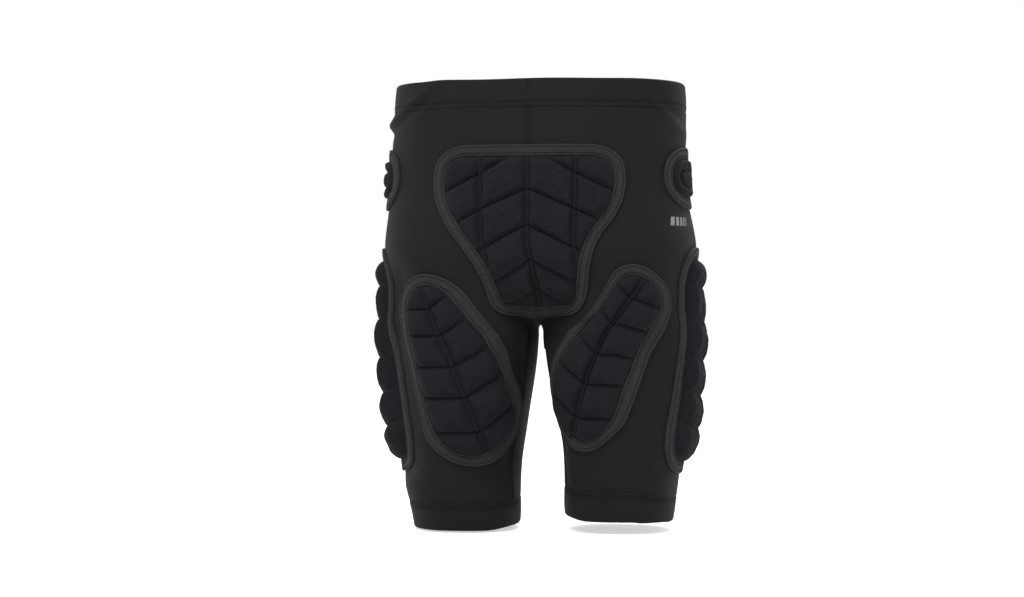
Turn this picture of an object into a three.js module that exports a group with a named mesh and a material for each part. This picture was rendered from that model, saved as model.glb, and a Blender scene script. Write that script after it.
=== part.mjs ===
// Padded impact shorts for skiing and snowboarding, in the shape they take when worn: a stretch
// shell of six sewn panels, a folded waistband with its elastic, two folded leg hems with their
// gripper tapes, and eight foam pads, each under a moulded cover held down by a sewn binding tape.
//
// Units are millimetres. +Z is up, the front faces -Y and the wearer's left is +X. The origin is the
// middle of the waist opening, level with the top of the waistband. Inside this file heights are
// measured up from the hems, and the exported group is lowered by the overall height.
import * as THREE from "three";

// ---- Body: the wearer's shape that the shell follows ----
const inseam = 216; // hem to crotch level
const rise = 251; // crotch level to the top of the waistband
const waistHalfWidth = 152;
const waistFront = 97; // depth from the side line to the front of the waist
const waistBack = 97;
const hipHalfWidth = 159;
const hipFront = 105;
const hipBack = 118;
const hemOuter = 139; // centre plane to the outside of the leg at the hem
const hemInner = 24; // centre plane to the inside of the leg at the hem
const hemFront = 57;
const hemBack = 60;
const thighInner = 12; // the same at the top of the leg, before the two legs merge
const thighFront = 94;
const thighBack = 98;
const seatCurve = 86; // height above crotch level where the front and seat start to turn under
const seatLift = 6; // height above crotch level where the torso, without the legs, would end
const legFadeStart = 60; // height above crotch level where the legs start to fade into the torso
const legFadeHeight = 90;
const crotchBlend = 40; // softness of the web between the two legs
const hipBlend = 24; // softness where the legs run into the torso
const torsoSquareness = 2.4; // exponent of the torso's section: 2 is an ellipse, more is boxier
const legSquareness = 2.35;

// ---- Cloth and seams ----
const fabric = 1.2; // thickness of the shell cloth
const gap = 0.4; // air left between neighbouring pieces
const waistbandHeight = 30;
const hemHeight = 28;
const elasticThickness = 1.2; // waist elastic inside the waistband
const gripperThickness = 0.8; // silicone gripper tape inside each hem
const gussetHalfAngle = THREE.MathUtils.degToRad(27); // inner thigh gusset, seen from the leg's middle

// ---- Pads ----
const padLift = 2.1; // backing and stitches between the shell and a pad
const coverSkin = 0.9; // thickness of the moulded cover
const foamLift = 0.8; // backing cloth under the foam, inside the cover
const tapeWidth = 12; // binding tape
const tapeThickness = 1.6;
const tapeOverlap = 9; // how much of the tape's width lies on the cover's flange
const wallClearance = 0.7; // from the tape's inner edge to the pad's side wall
const wallRun = 4; // distance over which a pad's side wall climbs
const wallShare = 0.75; // share of the foam's height reached by the side wall
const thighClearance = 27.5; // the groin pad's neck to the middle line of each leg
const footNarrowing = 8; // how much narrower the groin and seat pads' feet are than the neck
const seatWidening = 9; // how much wider the seat pad's neck is than the groin pad's
const pointOverlap = 1; // how far the groin and seat pads reach past the gussets' points
const hipForward = THREE.MathUtils.degToRad(13); // the hip pads sit this far in front of the side

// ---- How finely the faceted solids are divided ----
const panelColumns = 12;
const legRows = 8;
const torsoRows = 9;
const gussetColumns = 8;
const hemStations = 28;
const waistStations = 22;
const crotchCrowding = 1.5; // how much closer the panels' divisions get towards the crotch
const crownRings = [0.66, 0.33]; // rings across a pad's top, as shares of its outline

const height = inseam + rise;
const shellTop = height - waistbandHeight - gap;
const shellBottom = hemHeight + gap;
const sides = { left: 1, right: -1 };

// ---- Materials ----
const finish = (color, roughness) => new THREE.MeshStandardMaterial({ color, roughness, metalness: 0 });
const shellCloth = finish(0x27292b, 0.82);
const coverCloth = finish(0x222126, 0.9);
const bindingTape = finish(0x3b3b39, 0.95);
const padFoam = finish(0x4a4a4d, 0.95);
const elasticWeb = finish(0x1d1d1f, 0.9);
const gripperSilicone = finish(0x55585c, 0.55);

// ---- Small tools ----
// A smooth curve through [position, value] stations, level beyond both ends.
function profile(stations) {
  const last = stations.length - 1;
  const slopes = stations.map((_, i) => {
    const [s0, v0] = stations[Math.max(0, i - 1)];
    const [s1, v1] = stations[Math.min(last, i + 1)];
    return (v1 - v0) / (s1 - s0);
  });
  return (s) => {
    let i = 0;
    while (i < last - 1 && s > stations[i + 1][0]) i += 1;
    const [s0, v0] = stations[i];
    const [s1, v1] = stations[i + 1];
    const span = s1 - s0;
    const t = THREE.MathUtils.clamp((s - s0) / span, 0, 1);
    const pull = t * (1 - t) * span * ((1 - t) * slopes[i] - t * slopes[i + 1]);
    return v0 + (v1 - v0) * t * t * (3 - 2 * t) + pull;
  };
}

const mix = THREE.MathUtils.lerp;
const fractions = (count) => Array.from({ length: count + 1 }, (_, i) => i / count);

// Radius of a squared-off ellipse with the given half sizes, as a share of its edge.
function squaredRadius(x, y, halfWidth, depth, squareness) {
  return (Math.abs(x / halfWidth) ** squareness + Math.abs(y / depth) ** squareness) ** (1 / squareness);
}

// The smaller of two distances, rounded off where they are within softness of each other.
function blended(a, b, softness) {
  const h = Math.max(0, softness - Math.abs(a - b)) / softness;
  return Math.min(a, b) - (h * h * softness) / 4;
}

// ---- The body as a field: negative inside, zero on the surface, positive outside ----
const legOuter = profile([
  [0, hemOuter],
  [0.3, mix(hemOuter, hipHalfWidth, 0.35)],
  [1, hipHalfWidth - 2],
]);
const legInner = profile([
  [0, hemInner],
  [0.3, mix(hemInner, thighInner, 0.12)],
  [0.5, mix(hemInner, thighInner, 0.42)],
  [0.8, mix(hemInner, thighInner, 0.88)],
  [1, thighInner],
]);
const legFront = profile([
  [0, hemFront],
  [0.4, mix(hemFront, thighFront, 0.41)],
  [1, thighFront],
]);
const legBack = profile([
  [0, hemBack],
  [0.4, mix(hemBack, thighBack, 0.37)],
  [1, thighBack],
]);
const torsoHalfWidth = profile([
  [0, hipHalfWidth - 2],
  [0.42, hipHalfWidth],
  [0.8, mix(hipHalfWidth, waistHalfWidth, 0.57)],
  [1, waistHalfWidth],
]);
const torsoFront = profile([
  [0, hipFront - 2],
  [0.4, hipFront],
  [1, waistFront],
]);
const torsoBack = profile([
  [0, hipBack - 2],
  [0.35, hipBack],
  [1, waistBack],
]);
const seatTop = inseam + seatCurve;
const legTop = inseam + legFadeStart;

const legShare = (z) => Math.min(z / inseam, 1);
const legMiddle = (z) => (legOuter(legShare(z)) + legInner(legShare(z))) / 2;
const legHalfWidth = (z) => (legOuter(legShare(z)) - legInner(legShare(z))) / 2;

function legField(x, y, z) {
  const depth = (y < 0 ? legFront : legBack)(legShare(z));
  const level = squaredRadius(x - legMiddle(z), y, legHalfWidth(z), depth, legSquareness);
  const fade = Math.max(0, (z - legTop) / legFadeHeight);
  return (Math.hypot(level, fade) - 1) * legHalfWidth(z);
}

function torsoField(x, y, z) {
  const share = Math.max(0, (z - inseam) / rise);
  const depth = (y < 0 ? torsoFront : torsoBack)(share);
  const level = squaredRadius(x, y, torsoHalfWidth(share), depth, torsoSquareness);
  const under = Math.max(0, (seatTop - z) / (seatCurve - seatLift));
  return (Math.hypot(level, under) - 1) * depth;
}

function bodyField({ x, y, z }) {
  const legs = blended(legField(x, y, z), legField(-x, y, z), crotchBlend);
  return blended(torsoField(x, y, z), legs, hipBlend);
}

// A place on the body: the point, and the direction straight out of the body there.
function spot(point) {
  const step = 0.5;
  const slope = (axis) => {
    const ahead = point.clone();
    const behind = point.clone();
    ahead[axis] += step;
    behind[axis] -= step;
    return bodyField(ahead) - bodyField(behind);
  };
  return { point, out: new THREE.Vector3(slope("x"), slope("y"), slope("z")).normalize() };
}

// The first place where a straight line crosses the body's surface, or its far end if it never does.
function crossing(start, direction, far) {
  const march = 60;
  const at = (distance) => start.clone().addScaledVector(direction, distance);
  const inside = bodyField(start) < 0;
  let near = 0;
  let past = far;
  for (let i = 1; i <= march; i += 1) {
    const distance = (far * i) / march;
    if (bodyField(at(distance)) < 0 !== inside) {
      past = distance;
      near = (far * (i - 1)) / march;
      for (let halving = 0; halving < 26; halving += 1) {
        const middle = (near + past) / 2;
        if (bodyField(at(middle)) < 0 === inside) near = middle;
        else past = middle;
      }
      break;
    }
  }
  return spot(at(past));
}

const raised = ({ point, out }, distance) => point.clone().addScaledVector(out, distance);

// The same place with its outward direction made level, for edges that have to stay flat.
function levelled({ point, out }) {
  return { point, out: new THREE.Vector3(out.x, out.y, 0).normalize() };
}

// ---- Places on the left half of the body, by angle round the leg: 0 is straight out to the side,
// a quarter turn back is the front, and half a turn is the inner thigh ----
const reach = 320; // longer than any line from the body's middle to its surface

function roundLeg(angle, z) {
  const start = new THREE.Vector3(legMiddle(z), 0, z);
  const direction = new THREE.Vector3(Math.cos(angle), Math.sin(angle), 0);
  const toCentrePlane = direction.x < 0 ? (start.x - gap / 2) / -direction.x : reach;
  return crossing(start, direction, Math.min(reach, toCentrePlane));
}

function roundWaist(angle, z, fromCentre) {
  const start = new THREE.Vector3(fromCentre, 0, z);
  return levelled(crossing(start, new THREE.Vector3(Math.cos(angle), Math.sin(angle), 0), reach));
}

// Height of the centre line where it passes under the body, by distance in front of or behind it.
function centreHeight(y) {
  return crossing(new THREE.Vector3(0, y, seatTop), new THREE.Vector3(0, 0, -1), reach).point.z;
}

// Height at which the gusset comes to its point on the centre line. facing is -1 at the front.
function gussetPoint(facing) {
  return centreHeight(facing * legMiddle(inseam) * Math.tan(gussetHalfAngle));
}

// Angle round the leg at which a level line reaches the centre seam. facing is -1 at the front.
function centreAngle(z, facing) {
  const seam = crossing(new THREE.Vector3(gap / 2, 0, z), new THREE.Vector3(0, facing, 0), reach).point;
  return Math.atan2(Math.abs(seam.y), seam.x - legMiddle(z));
}

// ---- Solids from points ----
// One closed geometry, with its faces turned outwards whichever way round it was listed.
function solid(points, triangles) {
  const volume = triangles.reduce(
    (sum, [a, b, c]) => sum + points[a].dot(new THREE.Vector3().crossVectors(points[b], points[c])),
    0,
  );
  const index = triangles.flatMap(([a, b, c]) => (volume > 0 ? [a, b, c] : [a, c, b]));
  const geometry = new THREE.BufferGeometry().setFromPoints(points).setIndex(index);
  geometry.computeVertexNormals();
  return geometry;
}

const quad = (a, b, c, d) => [
  [a, b, c],
  [a, c, d],
];

// Keeps a point of the left half from crossing the centre plane.
function ownSide(point) {
  point.x = Math.max(point.x, gap / 2);
  return point;
}

// A cloth panel: a grid of places, as thick as the cloth.
function panel(rows) {
  const width = rows[0].length;
  const places = rows.flat();
  const outer = places.map((place) => ownSide(raised(place, fabric)));
  const inner = places.map((place) => raised(place, 0));
  const at = (i, j) => i * width + j;
  const triangles = [];
  for (let i = 0; i < rows.length - 1; i += 1) {
    for (let j = 0; j < width - 1; j += 1) {
      const [a, b, c, d] = [at(i, j), at(i, j + 1), at(i + 1, j + 1), at(i + 1, j)];
      triangles.push(...quad(a, b, c, d));
      triangles.push(...quad(...[d, c, b, a].map((k) => k + outer.length)));
    }
  }
  const lastRow = rows.length - 1;
  const edge = [
    ...rows[0].map((_, j) => at(0, j)),
    ...rows.slice(1).map((_, i) => at(i + 1, width - 1)),
    ...rows[0].slice(1).map((_, j) => at(lastRow, width - 2 - j)),
    ...rows.slice(1, -1).map((_, i) => at(lastRow - 1 - i, 0)),
  ];
  edge.forEach((a, k) => {
    const b = edge[(k + 1) % edge.length];
    triangles.push(...quad(b, a, a + outer.length, b + outer.length));
  });
  return solid([...outer, ...inner], triangles);
}

// A flat section carried along stations. A closed run joins its last station to its first, and an
// open one is capped with the flat section's own triangles. Every face's diagonals climb the same
// way along the run, so that a tape and the fold round it are divided alike and keep their distance.
// Where the fold is in mirrored halves, the tape's diagonals are mirrored too.
function run(stations, flatSection, closed, mirroredHalves = false) {
  const size = stations[0].length;
  const at = (i, j) => (i % stations.length) * size + (j % size);
  const triangles = [];
  for (let i = 0; i < stations.length - (closed ? 0 : 1); i += 1) {
    const mirrorSide = mirroredHalves && stations[i][0].x + stations[(i + 1) % stations.length][0].x < 0;
    for (let j = 0; j < size; j += 1) {
      const corners = [at(i, j), at(i, j + 1), at(i + 1, j + 1), at(i + 1, j)];
      const falls = flatSection[(j + 1) % size].y < flatSection[j].y;
      if (falls !== mirrorSide) corners.push(corners.shift());
      triangles.push(...quad(...corners));
    }
  }
  if (!closed) {
    const last = stations.length - 1;
    for (const [a, b, c] of THREE.ShapeUtils.triangulateShape(flatSection, [])) {
      triangles.push([at(0, c), at(0, b), at(0, a)], [at(last, a), at(last, b), at(last, c)]);
    }
  }
  return solid(stations.flat(), triangles);
}

// Rings of equal length between two end points. Each band's diagonals start on its wider ring, so
// that two nested solids are divided alike and keep their distance.
function rings(first, list, last) {
  const size = list[0].length;
  const points = [first, ...list.flat(), last];
  const at = (i, j) => 1 + i * size + (j % size);
  const breadth = (ring) => ring[0].distanceTo(ring[size / 2]);
  const triangles = [];
  for (let j = 0; j < size; j += 1) {
    triangles.push([0, at(0, j + 1), at(0, j)]);
    for (let i = 0; i < list.length - 1; i += 1) {
      const corners = [at(i, j), at(i, j + 1), at(i + 1, j + 1), at(i + 1, j)];
      if (breadth(list[i]) < breadth(list[i + 1])) corners.push(corners.shift());
      triangles.push(...quad(...corners));
    }
    triangles.push([points.length - 1, at(list.length - 1, j), at(list.length - 1, j + 1)]);
  }
  return solid(points, triangles);
}

// ---- The shell's panels, for the left half ----
// Half the seam's air, as an angle round the leg.
const seamAngle = (z) => gap / 2 / legHalfWidth(z);

// facing is -1 for the front panel and 1 for the back panel.
function mainPanel(facing) {
  const join = gussetPoint(facing);
  const levels = [
    ...fractions(legRows).map((t) => mix(join, shellBottom, (1 - t) ** crotchCrowding)),
    ...fractions(torsoRows)
      .slice(1)
      .map((t) => mix(join, shellTop, t ** crotchCrowding)),
  ];
  return panel(
    levels.map((z) => {
      const inner = z > join ? centreAngle(z, facing) : Math.PI - gussetHalfAngle - seamAngle(z);
      const angle = (t) => facing * mix(inner, seamAngle(z), (1 - t) ** crotchCrowding);
      return fractions(panelColumns).map((t) => roundLeg(angle(t), z));
    }),
  );
}

// The inner thigh gusset, from the hem up to the centre plane under the crotch.
function gusset() {
  return panel(
    fractions(legRows).map((climb) =>
      fractions(gussetColumns).map((across) => {
        const turn = mix(-1, 1, across) * gussetHalfAngle;
        const top = centreHeight(legMiddle(inseam) * Math.tan(turn));
        const z = mix(shellBottom, top, climb);
        const trimmed = turn - Math.sign(turn) * (Math.abs(turn) === gussetHalfAngle ? seamAngle(z) : 0);
        return roundLeg(Math.PI - trimmed, z);
      }),
    ),
  );
}

// ---- Waistband and hems: a strip folded over a tape ----
// The fold's section as [distance out, height from the fold's free edge], open at the free edge.
function foldSection(foldHeight, insideThickness) {
  const channel = insideThickness + 2 * gap;
  return [
    [fabric, 0],
    [fabric, foldHeight],
    [-channel - fabric, foldHeight],
    [-channel - fabric, 0],
    [-channel, 0],
    [-channel, foldHeight - fabric],
    [0, foldHeight - fabric],
    [0, 0],
  ];
}

// The tape inside a fold, clear of it all round.
function tapeSection(foldHeight, thickness) {
  const top = foldHeight - fabric - gap;
  return [
    [-gap, gap],
    [-gap, top],
    [-gap - thickness, top],
    [-gap - thickness, gap],
  ];
}

const flat = (section) => section.map(([x, y]) => new THREE.Vector2(x, y));

// One station of a fold or tape: the section stood on its place. up is -1 where the fold is below.
function stood(section, placeAt, edgeHeight, up) {
  return section.map(([distance, along]) => {
    const z = edgeHeight + up * along;
    const { point, out } = placeAt(z);
    return point.clone().addScaledVector(out, distance);
  });
}

function waistbandHalf() {
  const section = foldSection(waistbandHeight, elasticThickness);
  const stations = fractions(waistStations).map((t) => {
    const angle = mix(-Math.PI / 2, Math.PI / 2, t);
    return stood(section, (z) => roundWaist(angle, z, gap / 2), height - waistbandHeight, 1);
  });
  return run(stations, flat(section), false);
}

function waistElastic() {
  const section = tapeSection(waistbandHeight, elasticThickness);
  const stations = fractions(2 * waistStations)
    .slice(1)
    .map((t) => stood(section, (z) => roundWaist(2 * Math.PI * t, z, 0), height - waistbandHeight, 1));
  return run(stations, flat(section), true, true);
}

function hemLoop(section) {
  const stations = fractions(hemStations)
    .slice(1)
    .map((t) => stood(section, (z) => levelled(roundLeg(2 * Math.PI * t, z)), hemHeight, -1));
  return run(stations, flat(section), true);
}

// ---- Charts: flat pattern coordinates, across and up from crotch level, laid on the body ----
// Straight back onto the front of the body, or straight forward onto its back.
const onto = (facing) => (across, up) =>
  crossing(new THREE.Vector3(across, facing * reach, inseam + up), new THREE.Vector3(0, -facing, 0), reach);

// Wrapped round the leg and hip, from a middle line at the given angle.
const wrapped = (middle) => (across, up) => {
  const z = inseam + up;
  const radius = (legHalfWidth(z) + legFront(legShare(z))) / 2;
  return roundLeg(middle + across / radius, z);
};

// ---- Pad outlines ----
// Corners as [across, up, how far the rounding reaches along each side], at most half the side.
function roundedOutline(corners) {
  const path = new THREE.Path();
  corners.forEach(([x, y, cut], i) => {
    const corner = new THREE.Vector2(x, y);
    const toward = ([nx, ny]) => {
      const side = new THREE.Vector2(nx, ny).sub(corner);
      return corner.clone().addScaledVector(side, Math.min(cut / side.length(), 0.5));
    };
    const start = toward(corners.at(i - 1));
    const end = toward(corners[(i + 1) % corners.length]);
    if (i === 0) path.moveTo(start.x, start.y);
    else path.lineTo(start.x, start.y);
    path.quadraticCurveTo(x, y, end.x, end.y);
  });
  path.closePath();
  return path;
}

const mirrored = (corners) => [...corners, ...corners.map(([x, y, cut]) => [-x, y, cut]).reverse()];

// A long round-ended outline, wider at the bottom than at the top.
function taperedOutline(top, bottom) {
  const axis = new THREE.Vector2(top.x - bottom.x, top.y - bottom.y);
  const lean = axis.angle();
  const flare = Math.asin((bottom.radius - top.radius) / axis.length());
  const path = new THREE.Path();
  const quarter = Math.PI / 2 - flare;
  path.absarc(top.x, top.y, top.radius, lean - quarter, lean + quarter, false);
  path.absarc(bottom.x, bottom.y, bottom.radius, lean + quarter, lean - quarter, false);
  path.closePath();
  return path;
}

// Moves each point of a closed outline inwards by the same distance.
function inset(outline, distance) {
  const count = outline.length;
  return outline.map((point, i) => {
    const along = outline[(i + 1) % count].clone().sub(outline[(i + count - 1) % count]).normalize();
    return new THREE.Vector2(point.x - along.y * distance, point.y + along.x * distance);
  });
}

// ---- A pad: binding tape, moulded cover and foam core, laid on the body by its chart ----
function padSolids({ chart, path, foamHeight, points }) {
  const outline = path.getSpacedPoints(points).slice(0, points);
  if (THREE.ShapeUtils.area(outline) < 0) outline.reverse();
  const centre = outline.reduce((sum, p) => sum.add(p), new THREE.Vector2()).divideScalar(points);
  const lay = (flatPoint, distance) => raised(chart(flatPoint.x, flatPoint.y), distance);
  const ring = (inward, distance) => inset(outline, inward).map((p) => lay(p, distance));
  const crownRing = (inward, share, distance) =>
    inset(outline, inward).map((p) => lay(centre.clone().lerp(p, share), distance));
  const crownOf = (inward, distance) => crownRings.map((share) => crownRing(inward, share, distance));

  const base = fabric + padLift;
  const flangeTop = base + coverSkin;
  const tapeBottom = flangeTop + gap;
  const foot = tapeWidth + wallClearance; // where the cover's side wall starts, in from the outline
  const crown = base + foamHeight;

  const tapeHook = [
    [0, base],
    [tapeWidth - tapeOverlap - gap, base],
    [tapeWidth - tapeOverlap - gap, tapeBottom],
    [tapeWidth, tapeBottom],
    [tapeWidth, tapeBottom + tapeThickness],
    [0, tapeBottom + tapeThickness],
  ];
  const tapeEdges = tapeHook.map(([inward, distance]) => ring(inward, distance));
  const tapeStations = outline.map((_, i) => tapeEdges.map((edge) => edge[i]));
  const binding = run(tapeStations, flat(tapeHook), true);

  const flangeEdge = tapeWidth - tapeOverlap;
  const coverOuter = [
    ring(flangeEdge, flangeTop),
    ring(foot, flangeTop),
    ring(foot + wallRun, flangeTop + wallShare * foamHeight),
    ...crownOf(foot + wallRun, flangeTop + foamHeight),
  ];
  const coverInner = [
    ...crownOf(foot + wallRun + coverSkin, crown).reverse(),
    ring(foot + wallRun + coverSkin, base + wallShare * foamHeight),
    ring(foot + coverSkin, base),
    ring(flangeEdge, base),
  ];
  const cover = rings(lay(centre, crown), [...coverInner, ...coverOuter], lay(centre, crown + coverSkin));

  const foamBase = base + foamLift;
  const core = foot + coverSkin + 2 * foamLift;
  const foam = rings(
    lay(centre, foamBase),
    [
      ...crownOf(core, foamBase).reverse(),
      ring(core, foamBase),
      ring(core + wallRun, base + wallShare * foamHeight - gap),
      ...crownOf(foot + wallRun + coverSkin, crown - gap),
    ],
    lay(centre, crown - gap),
  );
  return { binding, cover, foam };
}

const onFront = onto(-1);
const onBack = onto(1);
const onThigh = wrapped(-Math.PI / 2);
const onSide = wrapped(0);
const onHip = wrapped(-hipForward);

// Heights in the outlines are measured from crotch level. The lower ends of the groin and seat pads
// lie over the points of the gussets.
const footOf = (facing) => gussetPoint(facing) - inseam - pointOverlap;
const neck = legMiddle(inseam) - thighClearance;

const groinPad = {
  chart: onFront,
  foamHeight: 11,
  points: 32,
  path: roundedOutline(
    mirrored([
      [neck - footNarrowing, footOf(-1), 20],
      [neck, 60, 28],
      [100, 120, 34],
      [95, 181, 36],
    ]),
  ),
};
const seatPad = {
  chart: onBack,
  foamHeight: 13,
  points: 32,
  path: roundedOutline(
    mirrored([
      [neck - footNarrowing, footOf(1), 20],
      [neck + seatWidening, 60, 26],
      [116, 112, 36],
      [108, 178, 34],
    ]),
  ),
};
const thighPad = {
  chart: onThigh,
  foamHeight: 11,
  points: 28,
  path: taperedOutline({ x: 23, y: 13, radius: 37 }, { x: -24, y: -96, radius: 53 }),
};
const sidePad = {
  chart: onSide,
  foamHeight: 13,
  points: 28,
  path: roundedOutline(
    mirrored([
      [62, -159, 36],
      [56, 78, 32],
    ]),
  ),
};
const hipPad = {
  chart: onHip,
  foamHeight: 5,
  points: 20,
  path: roundedOutline(
    mirrored([
      [50, 117, 50],
      [50, 182, 50],
    ]),
  ),
};

// ---- Assembly ----
const shorts = new THREE.Group();
shorts.position.z = -height;

function add(name, geometry, material, side = 1) {
  const mesh = new THREE.Mesh(geometry, material.clone());
  mesh.name = name;
  mesh.scale.x = side;
  shorts.add(mesh);
}

function addPair(name, geometry, material) {
  for (const [side, sign] of Object.entries(sides)) add(`${name}_${side}`, geometry, material, sign);
}

function addPad(name, pad, paired) {
  const { binding, cover, foam } = padSolids(pad);
  const place = paired ? addPair : add;
  place(`${name}_binding`, binding, bindingTape);
  place(`${name}_cover`, cover, coverCloth);
  place(`${name}_foam`, foam, padFoam);
}

addPair("front_panel", mainPanel(-1), shellCloth);
addPair("back_panel", mainPanel(1), shellCloth);
addPair("inner_gusset", gusset(), shellCloth);
addPair("waistband", waistbandHalf(), shellCloth);
add("waist_elastic", waistElastic(), elasticWeb);
addPair("leg_hem", hemLoop(foldSection(hemHeight, gripperThickness)), shellCloth);
addPair("leg_gripper", hemLoop(tapeSection(hemHeight, gripperThickness)), gripperSilicone);
addPad("groin_pad", groinPad, false);
addPad("seat_pad", seatPad, false);
addPad("thigh_pad", thighPad, true);
addPad("side_pad", sidePad, true);
addPad("hip_pad", hipPad, true);

export default shorts;
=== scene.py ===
# %% [markdown]
# # Padded impact shorts
#
# Shorts like these go under ski trousers. A thin stretch shell is sewn from six panels, and eight
# foam pads sit on it: one over the groin, one over the seat, and a pair each on the thighs, the
# sides and the hips. Every pad is foam under a moulded cover, and a tape sewn round its rim holds it.
#
# The shape is worked out in millimetres above the hems, the way a pattern cutter measures, and it
# becomes metres in the shared frame only when a mesh is made. We start with that frame.

# %% Load the fixed frame
import math
import bpy
import numpy as np
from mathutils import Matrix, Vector
from mathutils.geometry import delaunay_2d_cdt


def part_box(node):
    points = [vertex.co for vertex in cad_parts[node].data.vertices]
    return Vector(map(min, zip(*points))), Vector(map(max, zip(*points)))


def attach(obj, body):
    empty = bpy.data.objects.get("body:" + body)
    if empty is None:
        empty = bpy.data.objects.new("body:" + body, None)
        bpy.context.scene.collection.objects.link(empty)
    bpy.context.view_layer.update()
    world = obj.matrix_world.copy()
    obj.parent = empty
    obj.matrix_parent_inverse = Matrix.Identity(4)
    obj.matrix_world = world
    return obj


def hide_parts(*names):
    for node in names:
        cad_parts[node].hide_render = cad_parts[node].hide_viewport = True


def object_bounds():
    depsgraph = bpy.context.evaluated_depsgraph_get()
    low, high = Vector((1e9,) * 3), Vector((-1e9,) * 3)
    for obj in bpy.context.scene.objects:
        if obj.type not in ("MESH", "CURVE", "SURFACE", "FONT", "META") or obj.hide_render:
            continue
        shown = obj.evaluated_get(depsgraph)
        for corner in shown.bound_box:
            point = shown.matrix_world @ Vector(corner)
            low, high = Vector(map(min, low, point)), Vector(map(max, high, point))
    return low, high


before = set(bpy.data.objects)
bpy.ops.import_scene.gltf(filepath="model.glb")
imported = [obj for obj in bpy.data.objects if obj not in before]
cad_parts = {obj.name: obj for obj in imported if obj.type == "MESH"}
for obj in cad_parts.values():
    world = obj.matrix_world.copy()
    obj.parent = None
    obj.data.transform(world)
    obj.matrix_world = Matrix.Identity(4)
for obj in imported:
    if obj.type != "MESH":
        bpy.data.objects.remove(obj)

cad_low, cad_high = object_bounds()
MM = 0.001
hem_low, hem_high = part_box("leg_hem_left")
band_low, band_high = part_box("waistband_left")
height = (band_high[2] - hem_low[2]) / MM
hem_height = (hem_high[2] - hem_low[2]) / MM
waistband_height = (band_high[2] - band_low[2]) / MM
print(f"shorts {height:.0f} mm tall, waistband {waistband_height:.0f} mm, hems {hem_height:.0f} mm")

# %% [markdown]
# ## The wearer's shape
#
# The shell has no shape of its own: it takes the body's. A body is easiest as a *field*, a function
# that is negative inside, zero on the skin and positive outside. The torso and the two legs are
# squared-off ellipses whose sizes change smoothly with height, and a rounded minimum joins them, which
# makes the soft web between the legs that no lofted tube gives.

# %% Sizes of the wearer, in millimetres
inseam, rise = 216.0, 251.0
waist_half, waist_front, waist_back = 152.0, 97.0, 97.0
hip_half, hip_front, hip_back = 159.0, 105.0, 118.0
hem_outer, hem_inner, hem_front, hem_back = 139.0, 24.0, 57.0, 60.0
thigh_inner, thigh_front, thigh_back = 12.0, 94.0, 98.0
seat_curve, seat_lift = 86.0, 6.0
leg_fade_start, leg_fade_height = 60.0, 90.0
crotch_blend, hip_blend = 40.0, 24.0
torso_square, leg_square = 2.4, 2.35
gusset_half_angle = math.radians(27)
cloth = 1.2  # thickness of the shell
seam_gap = 0.01  # between two sewn edges, which touch on the real shorts
air = 0.4  # round the elastic and the grippers in their channels
side_pad_half = 62.0  # half the width of a side pad, measured round the leg


# %% The body as a field
def mix(a, b, t):
    return a + (b - a) * t


def profile(*stations):
    """A smooth curve through (position, value) stations."""
    s, v = np.array(stations, float).T
    slope = np.gradient(v, s)
    slope[1:-1] = (v[2:] - v[:-2]) / (s[2:] - s[:-2])

    def at(x):
        x = np.clip(x, s[0], s[-1])
        i = np.clip(np.searchsorted(s, x, side="right") - 1, 0, len(s) - 2)
        span = s[i + 1] - s[i]
        t = (x - s[i]) / span
        pull = t * (1 - t) * span * ((1 - t) * slope[i] - t * slope[i + 1])
        return mix(v[i], v[i + 1], t * t * (3 - 2 * t)) + pull

    return at


leg_outer_at = profile((0, hem_outer), (0.3, mix(hem_outer, hip_half, 0.35)), (1, hip_half - 2))
leg_inner_at = profile(
    (0, hem_inner),
    (0.3, mix(hem_inner, thigh_inner, 0.12)),
    (0.5, mix(hem_inner, thigh_inner, 0.42)),
    (0.8, mix(hem_inner, thigh_inner, 0.88)),
    (1, thigh_inner),
)
leg_front_at = profile((0, hem_front), (0.4, mix(hem_front, thigh_front, 0.41)), (1, thigh_front))
leg_back_at = profile((0, hem_back), (0.4, mix(hem_back, thigh_back, 0.37)), (1, thigh_back))
torso_half_at = profile(
    (0, hip_half - 2), (0.42, hip_half), (0.8, mix(hip_half, waist_half, 0.57)), (1, waist_half)
)
torso_front_at = profile((0, hip_front - 2), (0.4, hip_front), (1, waist_front))
torso_back_at = profile((0, hip_back - 2), (0.35, hip_back), (1, waist_back))


def leg_middle(z):
    share = np.minimum(z / inseam, 1)
    return (leg_outer_at(share) + leg_inner_at(share)) / 2


def leg_half(z):
    share = np.minimum(z / inseam, 1)
    return (leg_outer_at(share) - leg_inner_at(share)) / 2


def squared_radius(x, y, half, depth, power):
    return (np.abs(x / half) ** power + np.abs(y / depth) ** power) ** (1 / power)


def blended(a, b, softness):
    h = np.maximum(0, softness - np.abs(a - b)) / softness
    return np.minimum(a, b) - h * h * softness / 4


def leg_field(x, y, z):
    share = np.minimum(z / inseam, 1)
    depth = np.where(y < 0, leg_front_at(share), leg_back_at(share))
    level = squared_radius(x - leg_middle(z), y, leg_half(z), depth, leg_square)
    fade = np.maximum(0, (z - inseam - leg_fade_start) / leg_fade_height)
    return (np.hypot(level, fade) - 1) * leg_half(z)


def torso_field(x, y, z):
    share = np.maximum(0, (z - inseam) / rise)
    depth = np.where(y < 0, torso_front_at(share), torso_back_at(share))
    level = squared_radius(x, y, torso_half_at(share), depth, torso_square)
    under = np.maximum(0, (inseam + seat_curve - z) / (seat_curve - seat_lift))
    return (np.hypot(level, under) - 1) * depth


def body_field(p):
    x, y, z = p[..., 0], p[..., 1], p[..., 2]
    legs = blended(leg_field(x, y, z), leg_field(-x, y, z), crotch_blend)
    return blended(torso_field(x, y, z), legs, hip_blend)


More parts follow.
